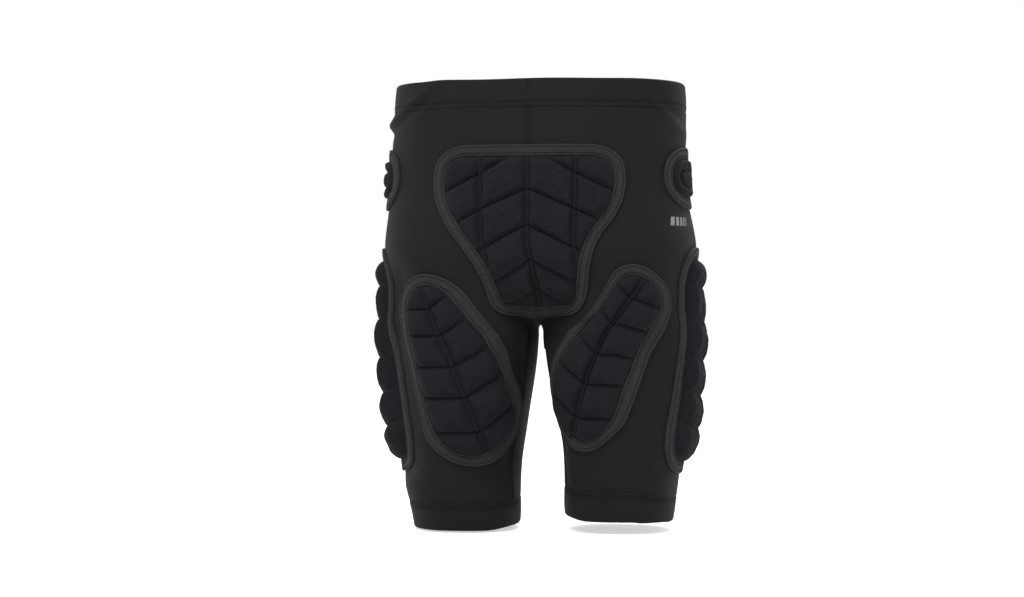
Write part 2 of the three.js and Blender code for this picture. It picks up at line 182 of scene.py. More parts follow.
print(f"half width of the body at the hips {hip_half:.0f} mm, at the hem {hem_outer:.0f} mm")

# %% [markdown]
# ## Finding the skin
#
# To put cloth on the body we shoot straight lines and see where each first crosses the skin. A few
# coarse steps find the crossing and halving makes it exact. NumPy does thousands of lines at once. The
# slope of the field at that point is the way out of the body, so a *place* is a point with its way out.


# %% Straight lines to the skin
def slope_of_field(points):
    step = 0.5
    slope = np.empty_like(points)
    for axis in range(3):
        nudge = np.zeros(3)
        nudge[axis] = step
        slope[..., axis] = body_field(points + nudge) - body_field(points - nudge)
    return slope / np.linalg.norm(slope, axis=-1, keepdims=True)


def crossing(start, direction, far):
    """The first place where each line changes side of the skin, or its far end."""
    steps = 30
    far = np.broadcast_to(far, start.shape[:-1])
    inside = body_field(start) < 0
    near, past = np.zeros_like(far), far.copy()
    found = np.zeros(far.shape, bool)
    for i in range(1, steps + 1):
        reach = far * i / steps
        crossed = ((body_field(start + direction * reach[..., None]) < 0) != inside) & ~found
        near, past = np.where(crossed, far * (i - 1) / steps, near), np.where(crossed, reach, past)
        found |= crossed
    for _ in range(18):
        middle = (near + past) / 2
        same = (body_field(start + direction * middle[..., None]) < 0) == inside
        near, past = np.where(found & same, middle, near), np.where(found & ~same, middle, past)
    point = start + direction * past[..., None]
    return point, slope_of_field(point)


def levelled(place):
    point, out = place
    out = out * (1, 1, 0)
    return point, out / np.linalg.norm(out, axis=-1, keepdims=True)


def raised(place, distance):
    point, out = place
    return point + out * np.asarray(distance)[..., None]


# %% [markdown]
# ## Charts
#
# Pattern pieces are drawn flat, so each needs a rule that carries flat coordinates to the body. Round
# the leg, the rule is an angle and a height. The groin and seat pads are drawn as seen straight on.
# Only the wearer's left half is worked out, and the right half is its mirror image.

# %% Charts from flat patterns to the body
REACH = 320.0


def stack(*parts):
    return np.stack(np.broadcast_arrays(*parts), axis=-1).astype(float)


def round_leg(angle, z):
    """Angle 0 is straight out to the side, a quarter turn back is the front."""
    start = stack(leg_middle(z), 0, z)
    direction = stack(np.cos(angle), np.sin(angle), 0)
    start, direction = np.broadcast_arrays(start, direction)
    inward = np.minimum(direction[..., 0], -1e-6)
    far = np.where(direction[..., 0] < 0, np.minimum(REACH, (start[..., 0] - seam_gap / 2) / -inward), REACH)
    return crossing(start, direction, far)


def round_waist(angle, z, from_centre=0.0):
    start = stack(from_centre, 0, z) + 0 * stack(angle, angle, angle)
    return levelled(crossing(start, stack(np.cos(angle), np.sin(angle), 0 * angle), REACH))


def centre_height(y):
    start = stack(0, y, inseam + seat_curve)
    return crossing(start, np.broadcast_to([0.0, 0.0, -1.0], start.shape), REACH)[0][..., 2]


def gusset_point(facing):
    return float(centre_height(np.array([facing * leg_middle(inseam) * math.tan(gusset_half_angle)]))[0])


def centre_angle(z, facing):
    start = stack(seam_gap / 2, 0, z)
    seam = crossing(start, np.broadcast_to([0.0, float(facing), 0.0], start.shape), REACH)[0]
    return np.arctan2(np.abs(seam[..., 1]), seam[..., 0] - leg_middle(z))


def onto(facing):
    """Straight onto the front (-1) or the back (1) of the body."""

    def chart(across, up):
        start = stack(across, facing * REACH, inseam + up)
        return crossing(start, np.broadcast_to([0.0, -float(facing), 0.0], start.shape), REACH)

    return chart


def wrapped(middle):
    """Wrapped round the leg and hip, from a middle line at the given angle."""

    def chart(across, up):
        z = inseam + up
        share = np.minimum(z / inseam, 1)
        radius = (leg_half(z) + leg_front_at(share)) / 2
        return round_leg(middle + across / radius, z)

    return chart


print(f"the gusset comes to its point {gusset_point(-1):.0f} mm above the hem in front")

# %% [markdown]
# ## How the shorts hang
#
# Nothing worn is quite symmetrical. The waistband dips a little, one leg is drawn up and twisted, and
# the cloth folds where it is slack. These are smooth shifts of *space*: each moves shell, pads and
# stitches together, so they don't push a piece through its neighbour.


# %% Small folds and the way the shorts hang
def smooth(t):
    t = np.clip(t, 0, 1)
    return t * t * (3 - 2 * t)


def bump(distance, width):
    return np.exp(-((distance / width) ** 2))


# Each fold runs between two points on the front, as (x, height), with its depth and half width.
slack_folds = [
    ((-100, 462), (-156, 424), 1.9, 6.0),
    ((-149, 425), (-168, 420), 3.2, 5.5),
    ((-112, 446), (-150, 418), -1.8, 5.0),
    ((-60, 440), (-120, 428), 0.9, 9.0),
    ((120, 452), (160, 408), 1.2, 6.0),
    ((134, 444), (164, 416), -1.4, 4.5),
    ((-20, 205), (-52, 168), -0.9, 4.5),
    ((-27, 214), (-60, 188), 0.8, 5.0),
    ((22, 206), (48, 176), -0.7, 4.5),
    ((-128, 62), (-100, 44), 0.9, 6.0),
    ((122, 66), (90, 40), 1.1, 7.0),
    ((132, 58), (104, 34), -0.8, 5.0),
    ((-40, 48), (-86, 36), -0.6, 5.0),
]


def fold_depth(p):
    x, y, z = p[..., 0], p[..., 1], p[..., 2]
    depth = np.zeros(p.shape[:-1])
    for (x0, z0), (x1, z1), size, width in slack_folds:
        along = np.array([x1 - x0, z1 - z0], float)
        length = np.linalg.norm(along)
        along /= length
        t = (x - x0) * along[0] + (z - z0) * along[1]
        beside = -(x - x0) * along[1] + (z - z0) * along[0]
        past_end = np.maximum(0, np.maximum(-t, t - length))
        depth += size * bump(beside, width) * bump(past_end, 12.0)
    return depth * smooth((20 - y) / 40)


def back_folds(p):
    """Shallow folds across the small of the back and under the seat."""
    x, y, z = p[..., 0], p[..., 1], p[..., 2]
    waist = 1.3 * bump(z - 424 - 0.08 * np.abs(x), 6) - 1.0 * bump(z - 412 - 0.1 * np.abs(x), 5)
    slanted = z + 0.25 * (np.abs(x) - 80)
    under_seat = 0.9 * bump(slanted - 190, 7) - 1.2 * bump(slanted - 176, 6)
    return (waist * bump(x, 80) + under_seat * bump(np.abs(x) - 75, 42)) * smooth((y - 10) / 50)


leg_lift = profile((0, 9), (60, 16), (130, 15), (200, 12.5), (265, 10.5), (330, 2), (380, 0), (500, 0))

leg_lean = profile(
    (0, 0), (60, 0), (105, 2.2), (155, 4.4), (188, 4.9), (205, 4.9), (216, 2.5), (228, 0), (500, 0)
)


def between(value, start, full, fade, end):
    """0 before start and after end, 1 from full to fade, and smooth on the way."""
    return smooth((value - start) / (full - start)) * smooth((end - value) / (end - fade))


def lifted(x, side, z):
    """How far each point is shifted up."""
    # The left leg is drawn up a little, most at the thigh and least at its outer side.
    above_crotch = smooth((z - 170) / 60)
    from_centre = smooth((side - 35 * above_crotch) / (10 + 45 * above_crotch))
    drawn_up = leg_lift(z) * from_centre * smooth((150 - side) / 50)

    # Each hem rides up at the inner thigh, and the left one at its outer side too.
    inner_rise = 4 * smooth((52 - side) / 34)
    outer_rise = 5 * smooth((side - 108) / 28)
    hems = smooth((60 - z) / 50) * (inner_rise + np.where(x > 0, outer_rise, -2))

    # The waistband sags slightly over the belly and at the hips.
    sag = 1.5 * smooth((-x - 84) / 34) + 1.0 * smooth((x - 90) / 60) + 2.5 * bump(x, 110)
    wavy = 0.6 * np.sin(x / 23 + 1) * bump(x, 130)
    return np.where(x > 0, drawn_up, 0) + hems + smooth((z - 400) / 60) * (wavy - sag)


def pulled_inwards(x, y, side, z):
    """How far the front cloth is pulled round each leg, towards the middle."""
    # The left leg is twisted inwards, most at mid thigh, as far as the rim of its side pad.
    share = np.minimum(z / inseam, 1)
    side_pad_edge = side_pad_half / ((leg_half(z) + leg_front_at(share)) / 2)
    past_pad = smooth((np.arctan2(-y, side - leg_middle(z)) - side_pad_edge) / 0.22)
    twist = smooth((side - 15) / 95) * past_pad * between(z, 25, 80, 180, 250)

    # The right thigh pad's tape turns to the front at both sides, and the side pad sits forward low down.
    outer_edge = between(side, 80, 140, 141, 153) * between(z, 180, 220, 255, 285)
    inner_edge = between(side, 17, 26, 45, 95) * between(z, 30, 80, 105, 225)
    forward = between(side, 100, 140, 146, 166) * between(z, 40, 70, 175, 225)
    right = 6.5 * outer_edge + 8 * forward - 4.2 * inner_edge
    return np.where(x > 0, 18 * twist, right) * smooth(-y / 40)


def pushed_left(x, y, side, z):
    """How far each point is shifted towards the wearer's left."""
    # The padded sides bow out, the left hip is held in, and the hems close in on the legs.
    bowed = between(z, 55, 95, 195, 235) * smooth((side - 80) / 60) * np.where(x > 0, 4.5, 3.0)
    held_in = 5 * bump(z - 365, 50) * smooth((side - 90) / 50)
    inner_left = 4 * smooth((150 - z) / 90) * smooth((90 - side) / 60)
    outer_right = 5 * smooth((50 - z) / 45) * smooth((side - 90) / 40)
    uneven = np.where(x > 0, inner_left - held_in, outer_right)

    # The foot of the groin pad is drawn left, and the legs lean together below the crotch.
    foot = smooth((110 - side) / 50) * between(z, 150, 210, 240, 310) * smooth((-y - 35) / 40)
    together = leg_lean(z) * smooth(side / 8) * smooth((80 - side) / 50)
    return np.sign(x) * (bowed - together - pulled_inwards(x, y, side, z)) + uneven + 8 * foot


def hang(p):
    """Shifts points by the folds and the unevenness of a worn garment."""
    x, y, z = p[..., 0], p[..., 1], p[..., 2]
    side = np.abs(x)
    out = stack(x / hip_half**2, y / hip_back**2, 0 * z)
    out /= np.linalg.norm(out, axis=-1, keepdims=True) + 1e-9
    swell = 0.7 * np.sin(z / 61 + 1.2) * np.sin(np.arctan2(y, x) * 3 + z / 90)
    moved = p + out * (fold_depth(p) + back_folds(p) + swell)[..., None]
    moved[..., 0] += pushed_left(x, y, side, z)
    moved[..., 2] += lifted(x, side, z)
    return moved


print(len(slack_folds), "folds on the front")

# %% [markdown]
# ## From points to meshes
#
# All cloth here is a thin closed solid: an outer face, an inner face and an edge. Three small builders
# cover everything. `grid_faces` makes the quads of a grid, `closed_solid` joins two matching sheets at
# their rim, and `make_piece` moves the points to the shared frame and turns the faces outwards.


def grid_faces(rows, columns, wrap=False):
    i, j = np.meshgrid(np.arange(rows - 1), np.arange(columns if wrap else columns - 1), indexing="ij")
    k = (j + 1) % columns
    quads = np.stack([i * columns + j, i * columns + k, (i + 1) * columns + k, (i + 1) * columns + j], -1)
    return quads.reshape(-1, 4)


def rim_edges(faces):
    """Directed edges that only one face uses."""
    corners = faces.shape[1]
    edges = [np.stack([faces[:, i], faces[:, (i + 1) % corners]], -1) for i in range(corners)]
    edges = np.concatenate(edges)
    key = np.sort(edges, axis=1)
    code = key[:, 0].astype(np.int64) * (faces.max() + 1) + key[:, 1]
    _, index, count = np.unique(code, return_index=True, return_counts=True)
    return edges[index[count == 1]]


def closed_solid(outer, inner, faces):
    """Points and faces of a thin solid between two sheets with the same faces."""
    count = len(outer)
    rim = rim_edges(faces)
    side = np.stack([rim[:, 1], rim[:, 0], rim[:, 0] + count, rim[:, 1] + count], -1)
    return np.concatenate([outer, inner]), [faces, faces[:, ::-1] + count, side]


def enclosed_volume(points, groups):
    volume = 0.0
    for faces in groups:
        for i in range(1, faces.shape[1] - 1):
            a, b, c = points[faces[:, 0]], points[faces[:, i]], points[faces[:, i + 1]]
            volume += float(np.einsum("ij,ij->", a, np.cross(b, c))) / 6
    return volume


def make_mesh(name, points, groups, uv=None, side=1, corner_uv=None):
    """A mesh in the shared frame, in metres, with its faces outwards. side is -1 for a mirror image."""
    points = points * (side, 1, 1)
    if enclosed_volume(points, groups) < 0:
        groups = [faces[:, ::-1] for faces in groups]
        if corner_uv is not None:
            corner_uv = [corners[:, ::-1] for corners in corner_uv]
    placed = (hang(points) - (0, 0, height)) * MM
    mesh = bpy.data.meshes.new(name)
    corners = np.concatenate([faces.ravel() for faces in groups])
    sizes = np.concatenate([np.full(len(faces), faces.shape[1]) for faces in groups])
    mesh.vertices.add(len(placed))
    mesh.loops.add(len(corners))
    mesh.polygons.add(len(sizes))
    mesh.vertices.foreach_set("co", placed.astype(np.float32).ravel())
    mesh.loops.foreach_set("vertex_index", corners.astype(np.int32))
    mesh.polygons.foreach_set("loop_start", np.concatenate([[0], np.cumsum(sizes)[:-1]]).astype(np.int32))
    mesh.polygons.foreach_set("loop_total", sizes.astype(np.int32))
    mesh.update(calc_edges=True)
    flat = np.concatenate([c.reshape(-1, 2) for c in corner_uv]) if corner_uv is not None else uv[corners]
    mesh.uv_layers.new(name="cloth").data.foreach_set("uv", (flat * MM).astype(np.float32).ravel())
    mesh.shade_smooth()
    mesh.validate()
    return mesh


def make_piece(name, mesh, material, replaces=()):
    piece = bpy.data.objects.new(name, mesh)
    bpy.context.scene.collection.objects.link(piece)
    mesh.materials.clear()
    mesh.materials.append(material)
    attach(piece, "root")
    if replaces:
        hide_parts(*replaces)
    return piece


# %% [markdown]
# ## Finishes
#
# Everything is black, so the finishes differ only in how they catch light. The shell is a smooth
# stretch knit with a soft sheen, the pad covers are a duller brushed laminate with a hint of purple,
# and the tape is a greyer ribbed webbing. All three share one node group, `cloth_grain`, which turns
# flat cloth coordinates into fine ribs and a little fuzz.


# %% The shared cloth grain
def add_socket(tree, name, kind, value=None, out=False):
    socket = tree.interface.new_socket(name, in_out="OUTPUT" if out else "INPUT", socket_type=kind)
    if value is not None:
        socket.default_value = value
    return socket


def feed(tree, made_node, values):
    """Gives a node's inputs, by name or number, a fixed value or another node's output."""
    for key, value in values.items():
        if isinstance(value, bpy.types.NodeSocket):
            tree.links.new(value, made_node.inputs[key])
        elif value is not None:
            made_node.inputs[key].default_value = value


def node(tree, kind, values=None, **settings):
    made_node = tree.nodes.new(kind)
    for key, value in settings.items():
        setattr(made_node, key, value)
    feed(tree, made_node, values or {})
    return made_node


def maths(tree, operation, a, b=None, c=None):
    return node(tree, "ShaderNodeMath", {0: a, 1: b, 2: c}, operation=operation).outputs[0]


def cloth_grain():
    """Ribs both ways, fuzz, and slow tone changes, from flat cloth coordinates in metres."""
    tree = bpy.data.node_groups.new("cloth_grain", "ShaderNodeTree")
    add_socket(tree, "Cloth", "NodeSocketVector")
    add_socket(tree, "Place", "NodeSocketVector")
    add_socket(tree, "Rib pitch", "NodeSocketFloat", 0.001)
    add_socket(tree, "Course pitch", "NodeSocketFloat", 0.001)
    add_socket(tree, "Fuzz", "NodeSocketFloat", 0.4)
    add_socket(tree, "Mottle", "NodeSocketFloat", 0.2)
    add_socket(tree, "Height", "NodeSocketFloat", out=True)
    add_socket(tree, "Tone", "NodeSocketFloat", out=True)
    given = node(tree, "NodeGroupInput")
    split = node(tree, "ShaderNodeSeparateXYZ", {0: given.outputs["Cloth"]})

    def wave(coordinate, pitch):
        turns = maths(tree, "MULTIPLY", maths(tree, "DIVIDE", coordinate, pitch), 2 * math.pi)
        return maths(tree, "MULTIPLY_ADD", maths(tree, "SINE", turns), 0.5, 0.5)

    ribs = wave(split.outputs["X"], given.outputs["Rib pitch"])
    courses = wave(split.outputs["Y"], given.outputs["Course pitch"])
    place = given.outputs["Place"]
    fuzz = node(tree, "ShaderNodeTexNoise", {"Scale": 900, "Detail": 3, "Vector": place})
    mottle = node(tree, "ShaderNodeTexNoise", {"Scale": 16, "Detail": 4, "Vector": place})
    knit = maths(tree, "ADD", ribs, courses)
    high = maths(tree, "ADD", knit, maths(tree, "MULTIPLY", fuzz.outputs[0], given.outputs["Fuzz"]))
    slow = maths(tree, "MULTIPLY", maths(tree, "SUBTRACT", mottle.outputs[0], 0.5), given.outputs["Mottle"])
    quick = maths(tree, "MULTIPLY", maths(tree, "SUBTRACT", fuzz.outputs[0], 0.5), given.outputs["Fuzz"])
    tone = maths(tree, "ADD", maths(tree, "ADD", slow, quick), 1.0)
    node(tree, "NodeGroupOutput", {"Height": high, "Tone": tone})
    return tree


grain = cloth_grain()
print("node group", grain.name, "with", len(grain.nodes), "nodes")


# %% A finish from a colour and a grain
def finish(
    name, colour, roughness, sheen=0.0, rib=0.0008, course=0.0006, depth=0.05, fuzz=0.5, specular=0.15
):
    """colour is linear RGB; rib and course are in metres; depth is how strongly the grain shades."""
    material = bpy.data.materials.new(name)
    material.use_nodes = True
    tree = material.node_tree
    where = node(tree, "ShaderNodeTexCoord")
    cloth_and_place = {"Cloth": where.outputs["UV"], "Place": where.outputs["Object"]}
    pattern = {"Rib pitch": rib, "Course pitch": course, "Fuzz": fuzz, "Mottle": 0.25}
    group = node(tree, "ShaderNodeGroup", {}, node_tree=grain)
    feed(tree, group, cloth_and_place | pattern)
    colours = {"Factor": 1.0, "A": (*colour, 1), "B": group.outputs["Tone"]}
    paint = node(tree, "ShaderNodeMix", colours, data_type="RGBA", blend_type="MULTIPLY")
    bumps = {"Strength": depth, "Distance": 0.0004, "Height": group.outputs["Height"]}
    relief = node(tree, "ShaderNodeBump", bumps)
    surface = {
        "Base Color": paint.outputs["Result"],
        "Normal": relief.outputs["Normal"],
        "Roughness": roughness,
        "Sheen Weight": sheen,
        "Sheen Roughness": 0.45,
        "Specular IOR Level": specular,
    }
    feed(tree, tree.nodes["Principled BSDF"], surface)
    return material


shell_knit = finish("shell_knit", (0.0062, 0.0065, 0.0072), 0.7, sheen=0.03, depth=0.35, specular=0.14)
pad_laminate = finish(
    "pad_laminate", (0.0108, 0.0102, 0.0128), 0.9, sheen=0.03, depth=0.3, fuzz=0.8, specular=0.08
)
ribbed_tape = finish(
    "ribbed_tape", (0.024, 0.024, 0.0235), 0.85, sheen=0.05, rib=0.0022, course=0.0016, depth=0.9, fuzz=1.3
)
black_thread = finish("black_thread", (0.006, 0.006, 0.006), 0.6, rib=0.0004, course=0.0004, depth=0.2)
grey_foam = finish("grey_foam", (0.07, 0.07, 0.075), 0.95, rib=0.003, course=0.003, depth=0.2)
woven_elastic = finish("woven_elastic", (0.008, 0.008, 0.009), 0.85, rib=0.0012, course=0.0009, depth=0.9)
silicone = finish(
    "silicone_gripper", (0.09, 0.095, 0.1), 0.4, rib=0.004, course=0.004, depth=0.3, specular=0.5
)
reflective_film = finish("reflective_film", (0.2, 0.2, 0.205), 0.45, rib=0.0007, course=0.0007, depth=0.15)
print("finishes:", ", ".join(m.name for m in bpy.data.materials if m.use_nodes and m.name.count("_")))

# %% [markdown]
# ## The shell
#
# A panel is a grid of places between its seams. Rows and columns crowd together near the seams, where
# the cloth dips as it turns under. The front and back panels run from the side seam to the centre
# seam, and below the crotch they stop at a long gusset that lines the inner thigh.

# %% Where the seams are
shell_top = height - waistband_height - seam_gap
shell_bottom = hem_height + seam_gap
gusset_top = {facing: gusset_point(facing) for facing in (-1, 1)}


def seam_angle(z):
    return seam_gap / 2 / leg_half(z)


def crowded(count, length):
    """Shares from 0 to 1, with extra steps close to both ends."""
    near = np.array([0, 0.5, 1.1, 1.9, 3.0]) / length
    return np.concatenate([near, np.linspace(4.5 / length, 1 - 4.5 / length, count), 1 - near[::-1]])


def distance_from_rim(points):
    """Roughly how far each point of a grid is from the grid's nearest edge."""
    along_rows = np.linalg.norm(np.diff(points, axis=1), axis=-1)
    along_columns = np.linalg.norm(np.diff(points, axis=0), axis=-1)
    across = np.concatenate([np.zeros((len(points), 1)), np.cumsum(along_rows, axis=1)], axis=1)
    up = np.concatenate([np.zeros((1, points.shape[1])), np.cumsum(along_columns, axis=0)], axis=0)
    nearest = np.minimum(np.minimum(across, across[:, -1:] - across), np.minimum(up, up[-1:] - up))
    return nearest, across, up


def cut_size(points):
    """Greatest width, greatest length and area of the flat cut, in millimetres.

    It is taken from the pattern on the smooth body, which has no folds and doesn't hang, and adds up
    the strips between neighbouring rows."""
    _, across, up = distance_from_rim(points)
    widths = across[:, -1]
    strips = (widths[1:] + widths[:-1]) / 2 * np.diff(up, axis=0).mean(axis=1)
    return widths.max(), up[-1].max(), strips.sum()


def sewn_sheet(place):
    """A grid of places as cloth: its thickness thins where it turns into a seam."""
    rows, columns = place[0].shape[:2]
    nearest, across, up = distance_from_rim(place[0])
    outer = raised(place, cloth - 0.6 * np.exp(-((nearest / 1.4) ** 2)))
    inner = raised(place, np.zeros((rows, columns)))
    outer[..., 0] = np.maximum(outer[..., 0], seam_gap / 2)
    faces = grid_faces(rows, columns)
    points, groups = closed_solid(outer.reshape(-1, 3), inner.reshape(-1, 3), faces)
    flat = np.stack([across, up], -1).reshape(-1, 2)
    return points, groups, np.concatenate([flat, flat])


# %% The panels
def main_panel(facing):
    join = gusset_top[facing]
    legs = mix(shell_bottom, join, crowded(70, join - shell_bottom))
    torso = mix(join, shell_top, crowded(78, shell_top - join))[1:]
    z = np.concatenate([legs, torso])
    at_centre = centre_angle(np.maximum(z, join + 0.01), facing)
    at_gusset = math.pi - gusset_half_angle - seam_angle(z)
    inner = np.where(z > join, at_centre, at_gusset)
    steps = crowded(84, 230.0)
    angle = facing * mix(seam_angle(z)[:, None], inner[:, None], steps[None, :])
    return round_leg(angle, np.broadcast_to(z[:, None], angle.shape))


def gusset_panel():
    across = crowded(22, 100.0)
    turn = mix(-1, 1, across) * gusset_half_angle
    top = centre_height(leg_middle(inseam) * np.tan(turn))
    climb = crowded(78, 200.0)
    z = mix(shell_bottom, top[None, :], climb[:, None])
    trimmed = turn[None, :] * (1 - seam_angle(z) / gusset_half_angle)
    return round_leg(math.pi - trimmed, z)


def declare_cut(piece, width, length, area, held):
    print(f"{piece.name}: cut {width:.0f} x {length:.0f} mm, {area / 100:.0f} cm2")


def add_sheets(name, place):
    points, groups, flat = sewn_sheet(place)
    for side, sign in (("left", 1), ("right", -1)):
        node_name = f"{name}_{side}"
        mesh = make_mesh(f"{node_name}_cloth", points, groups, flat, sign)
        piece = make_piece(f"{node_name}_cloth", mesh, shell_knit, [node_name])
        declare_cut(piece, *cut_size(place[0]), "stretched")


front_place, back_place, gusset_place = main_panel(-1), main_panel(1), gusset_panel()
add_sheets("front_panel", front_place)
add_sheets("back_panel", back_place)
add_sheets("inner_gusset", gusset_place)

# %% [markdown]
# ## Waistband, hems and what is inside them
#
# The waistband is a strip folded double over an elastic, and each hem is folded the same way over a
# silicone gripper. The fold's section is drawn once as a flat outline and swept round the body. Its
# outer wall is a touch fuller than the shell, because three layers lie there.


# %% A fold's section, and the sweep
def fold_section(fold_height, inside, stitch_lines):
    """Points (distance out, height from the free edge) round a cloth folded over a tape."""
    channel = inside + 2 * air
    outer_radius, inner_radius = channel / 2 + cloth, channel / 2
    straight = fold_height - outer_radius
    turns = np.linspace(0, math.pi, 9)
    rise_steps = np.concatenate([[0, 0.6, 1.4], np.linspace(2.6, straight, 15)])
    dip = sum(0.45 * bump(rise_steps - line, 0.7) for line in stitch_lines)
    fullness = 0.55 * np.sin(math.pi * rise_steps / fold_height) - 0.3 * bump(rise_steps, 1.2) - dip
    outer_wall = np.stack([cloth + fullness, rise_steps], -1)

    def arc(radius):
        return np.stack([-channel / 2 + radius * np.cos(turns), straight + radius * np.sin(turns)], -1)

    inner_wall = np.stack([np.full(12, -channel - cloth), np.linspace(straight, 0, 12)], -1)
    inside_back = np.stack([np.full(12, -channel), np.linspace(0, straight, 12)], -1)
    inside_front = np.stack([np.zeros(12), np.linspace(straight, 0, 12)], -1)
    outer_turn, inner_turn = arc(outer_radius)[1:-1], arc(inner_radius)[::-1][1:-1]
    return np.concatenate([outer_wall, outer_turn, inner_wall, inside_back, inner_turn, inside_front])


def unfolded_length(fold_height, inside):
    """How long the folded cloth is when it is opened flat."""
    channel = inside + 2 * air
    straight = fold_height - channel / 2 - cloth
    return 2 * straight + math.pi * (channel + cloth) / 2


def tape_section(fold_height, thickness):
    top = fold_height - thickness - 2 * air - cloth
    rise_steps = np.linspace(air, top, 12)
    front = np.stack([np.full(12, -air), rise_steps], -1)
    back = np.stack([np.full(12, -air - thickness), rise_steps[::-1]], -1)
    return np.concatenate([front, back])


def swept(section, place_at, angles, edge, up, closed, ripple=0.0):
    """Stands a section on its places all along the angles. up is -1 where the fold is below."""
    z = edge + up * section[:, 1]
    angle = np.broadcast_to(angles[:, None], (len(angles), len(section)))
    place = place_at(angle, np.broadcast_to(z, angle.shape))
    share_up = np.clip(section[:, 1] / np.ptp(section[:, 1]), 0, 1)
    gathers = ripple * np.sin(angle * 96) * np.sin(share_up * math.pi)
    points = raised(place, section[:, 0] + gathers)
    ring, size = points.shape[:2]
    groups = [grid_faces(ring + (1 if closed else 0), size, wrap=True)]
    if closed:
        groups[0] %= ring * size
    else:
        caps = np.stack([np.arange(size)[::-1], np.arange(size) + (ring - 1) * size])
        groups.append(caps)
    steps = np.concatenate([[0], np.cumsum(np.linalg.norm(np.diff(points[:, 0], axis=0), axis=-1))])
    around = np.concatenate([[0], np.cumsum(np.linalg.norm(np.diff(section, axis=0), axis=-1))])
    flat = np.stack(np.broadcast_arrays(steps[:, None], around[None, :]), -1).reshape(-1, 2)
    return points.reshape(-1, 3), groups, flat


def girth(place_at, angles, z, closed):
    """Length round the smooth body at one height."""
    ring = place_at(angles, np.full_like(angles, z))[0]
    if closed:
        ring = np.concatenate([ring, ring[:1]])
    return np.linalg.norm(np.diff(ring, axis=0), axis=1).sum()


# %% Waistband and elastic
band_stitch, elastic_thickness = 6.0, 1.2
band_section = fold_section(waistband_height, elastic_thickness, [band_stitch])
half_turn = np.linspace(-math.pi / 2, math.pi / 2, 170)
band_edge = height - waistband_height


def half_waist(angle, z):
    return round_waist(angle, z, seam_gap / 2)


band = swept(band_section, half_waist, half_turn, band_edge, 1, False, 0.06)
band_cut = (
    girth(half_waist, half_turn, band_edge, False),
    unfolded_length(waistband_height, elastic_thickness),
)
for side, sign in (("left", 1), ("right", -1)):
    mesh = make_mesh(f"waistband_{side}_cloth", *band, side=sign)
    piece = make_piece(f"waistband_{side}_cloth", mesh, shell_knit, [f"waistband_{side}"])
    declare_cut(piece, *band_cut, band_cut[0] * band_cut[1], "folded")

whole_turn = np.linspace(0, 2 * math.pi, 240, endpoint=False)
elastic_section = tape_section(waistband_height, elastic_thickness)
elastic = make_mesh("waist_elastic_web", *swept(elastic_section, round_waist, whole_turn, band_edge, 1, True))
make_piece("waist_elastic_web", elastic, woven_elastic, ["waist_elastic"])

# %% Hems and grippers
hem_stitches, gripper_thickness = [hem_height - 3.0, hem_height - 5.6], 0.8
hem_section = fold_section(hem_height, gripper_thickness, [3.0, 5.6])
hem_turn = np.linspace(0, 2 * math.pi, 170, endpoint=False)


def level_leg(angle, z):
    return levelled(round_leg(angle, z))


hem = swept(hem_section, level_leg, hem_turn, hem_height, -1, True, 0.05)
gripper = swept(tape_section(hem_height, gripper_thickness), level_leg, hem_turn, hem_height, -1, True)
hem_cut = girth(level_leg, hem_turn, hem_height, True), unfolded_length(hem_height, gripper_thickness)
for side, sign in (("left", 1), ("right", -1)):
    mesh = make_mesh(f"leg_hem_{side}_cloth", *hem, side=sign)
    piece = make_piece(f"leg_hem_{side}_cloth", mesh, shell_knit, [f"leg_hem_{side}"])
    declare_cut(piece, *hem_cut, hem_cut[0] * hem_cut[1], "folded")
    grip = make_mesh(f"leg_gripper_{side}_band", *gripper, side=sign)
    make_piece(f"leg_gripper_{side}_band", grip, silicone, [f"leg_gripper_{side}"])
print("hems and grippers made")

# %% [markdown]
# ## Stitches
#
# A stitch is a short arched thread, and a row has hundreds, so Geometry Nodes place them. The row's
# path is a line of points that each know the way out of the cloth. The tree walks the path in even
# steps, stands one arched thread on every step, and makes the copies real at the end.


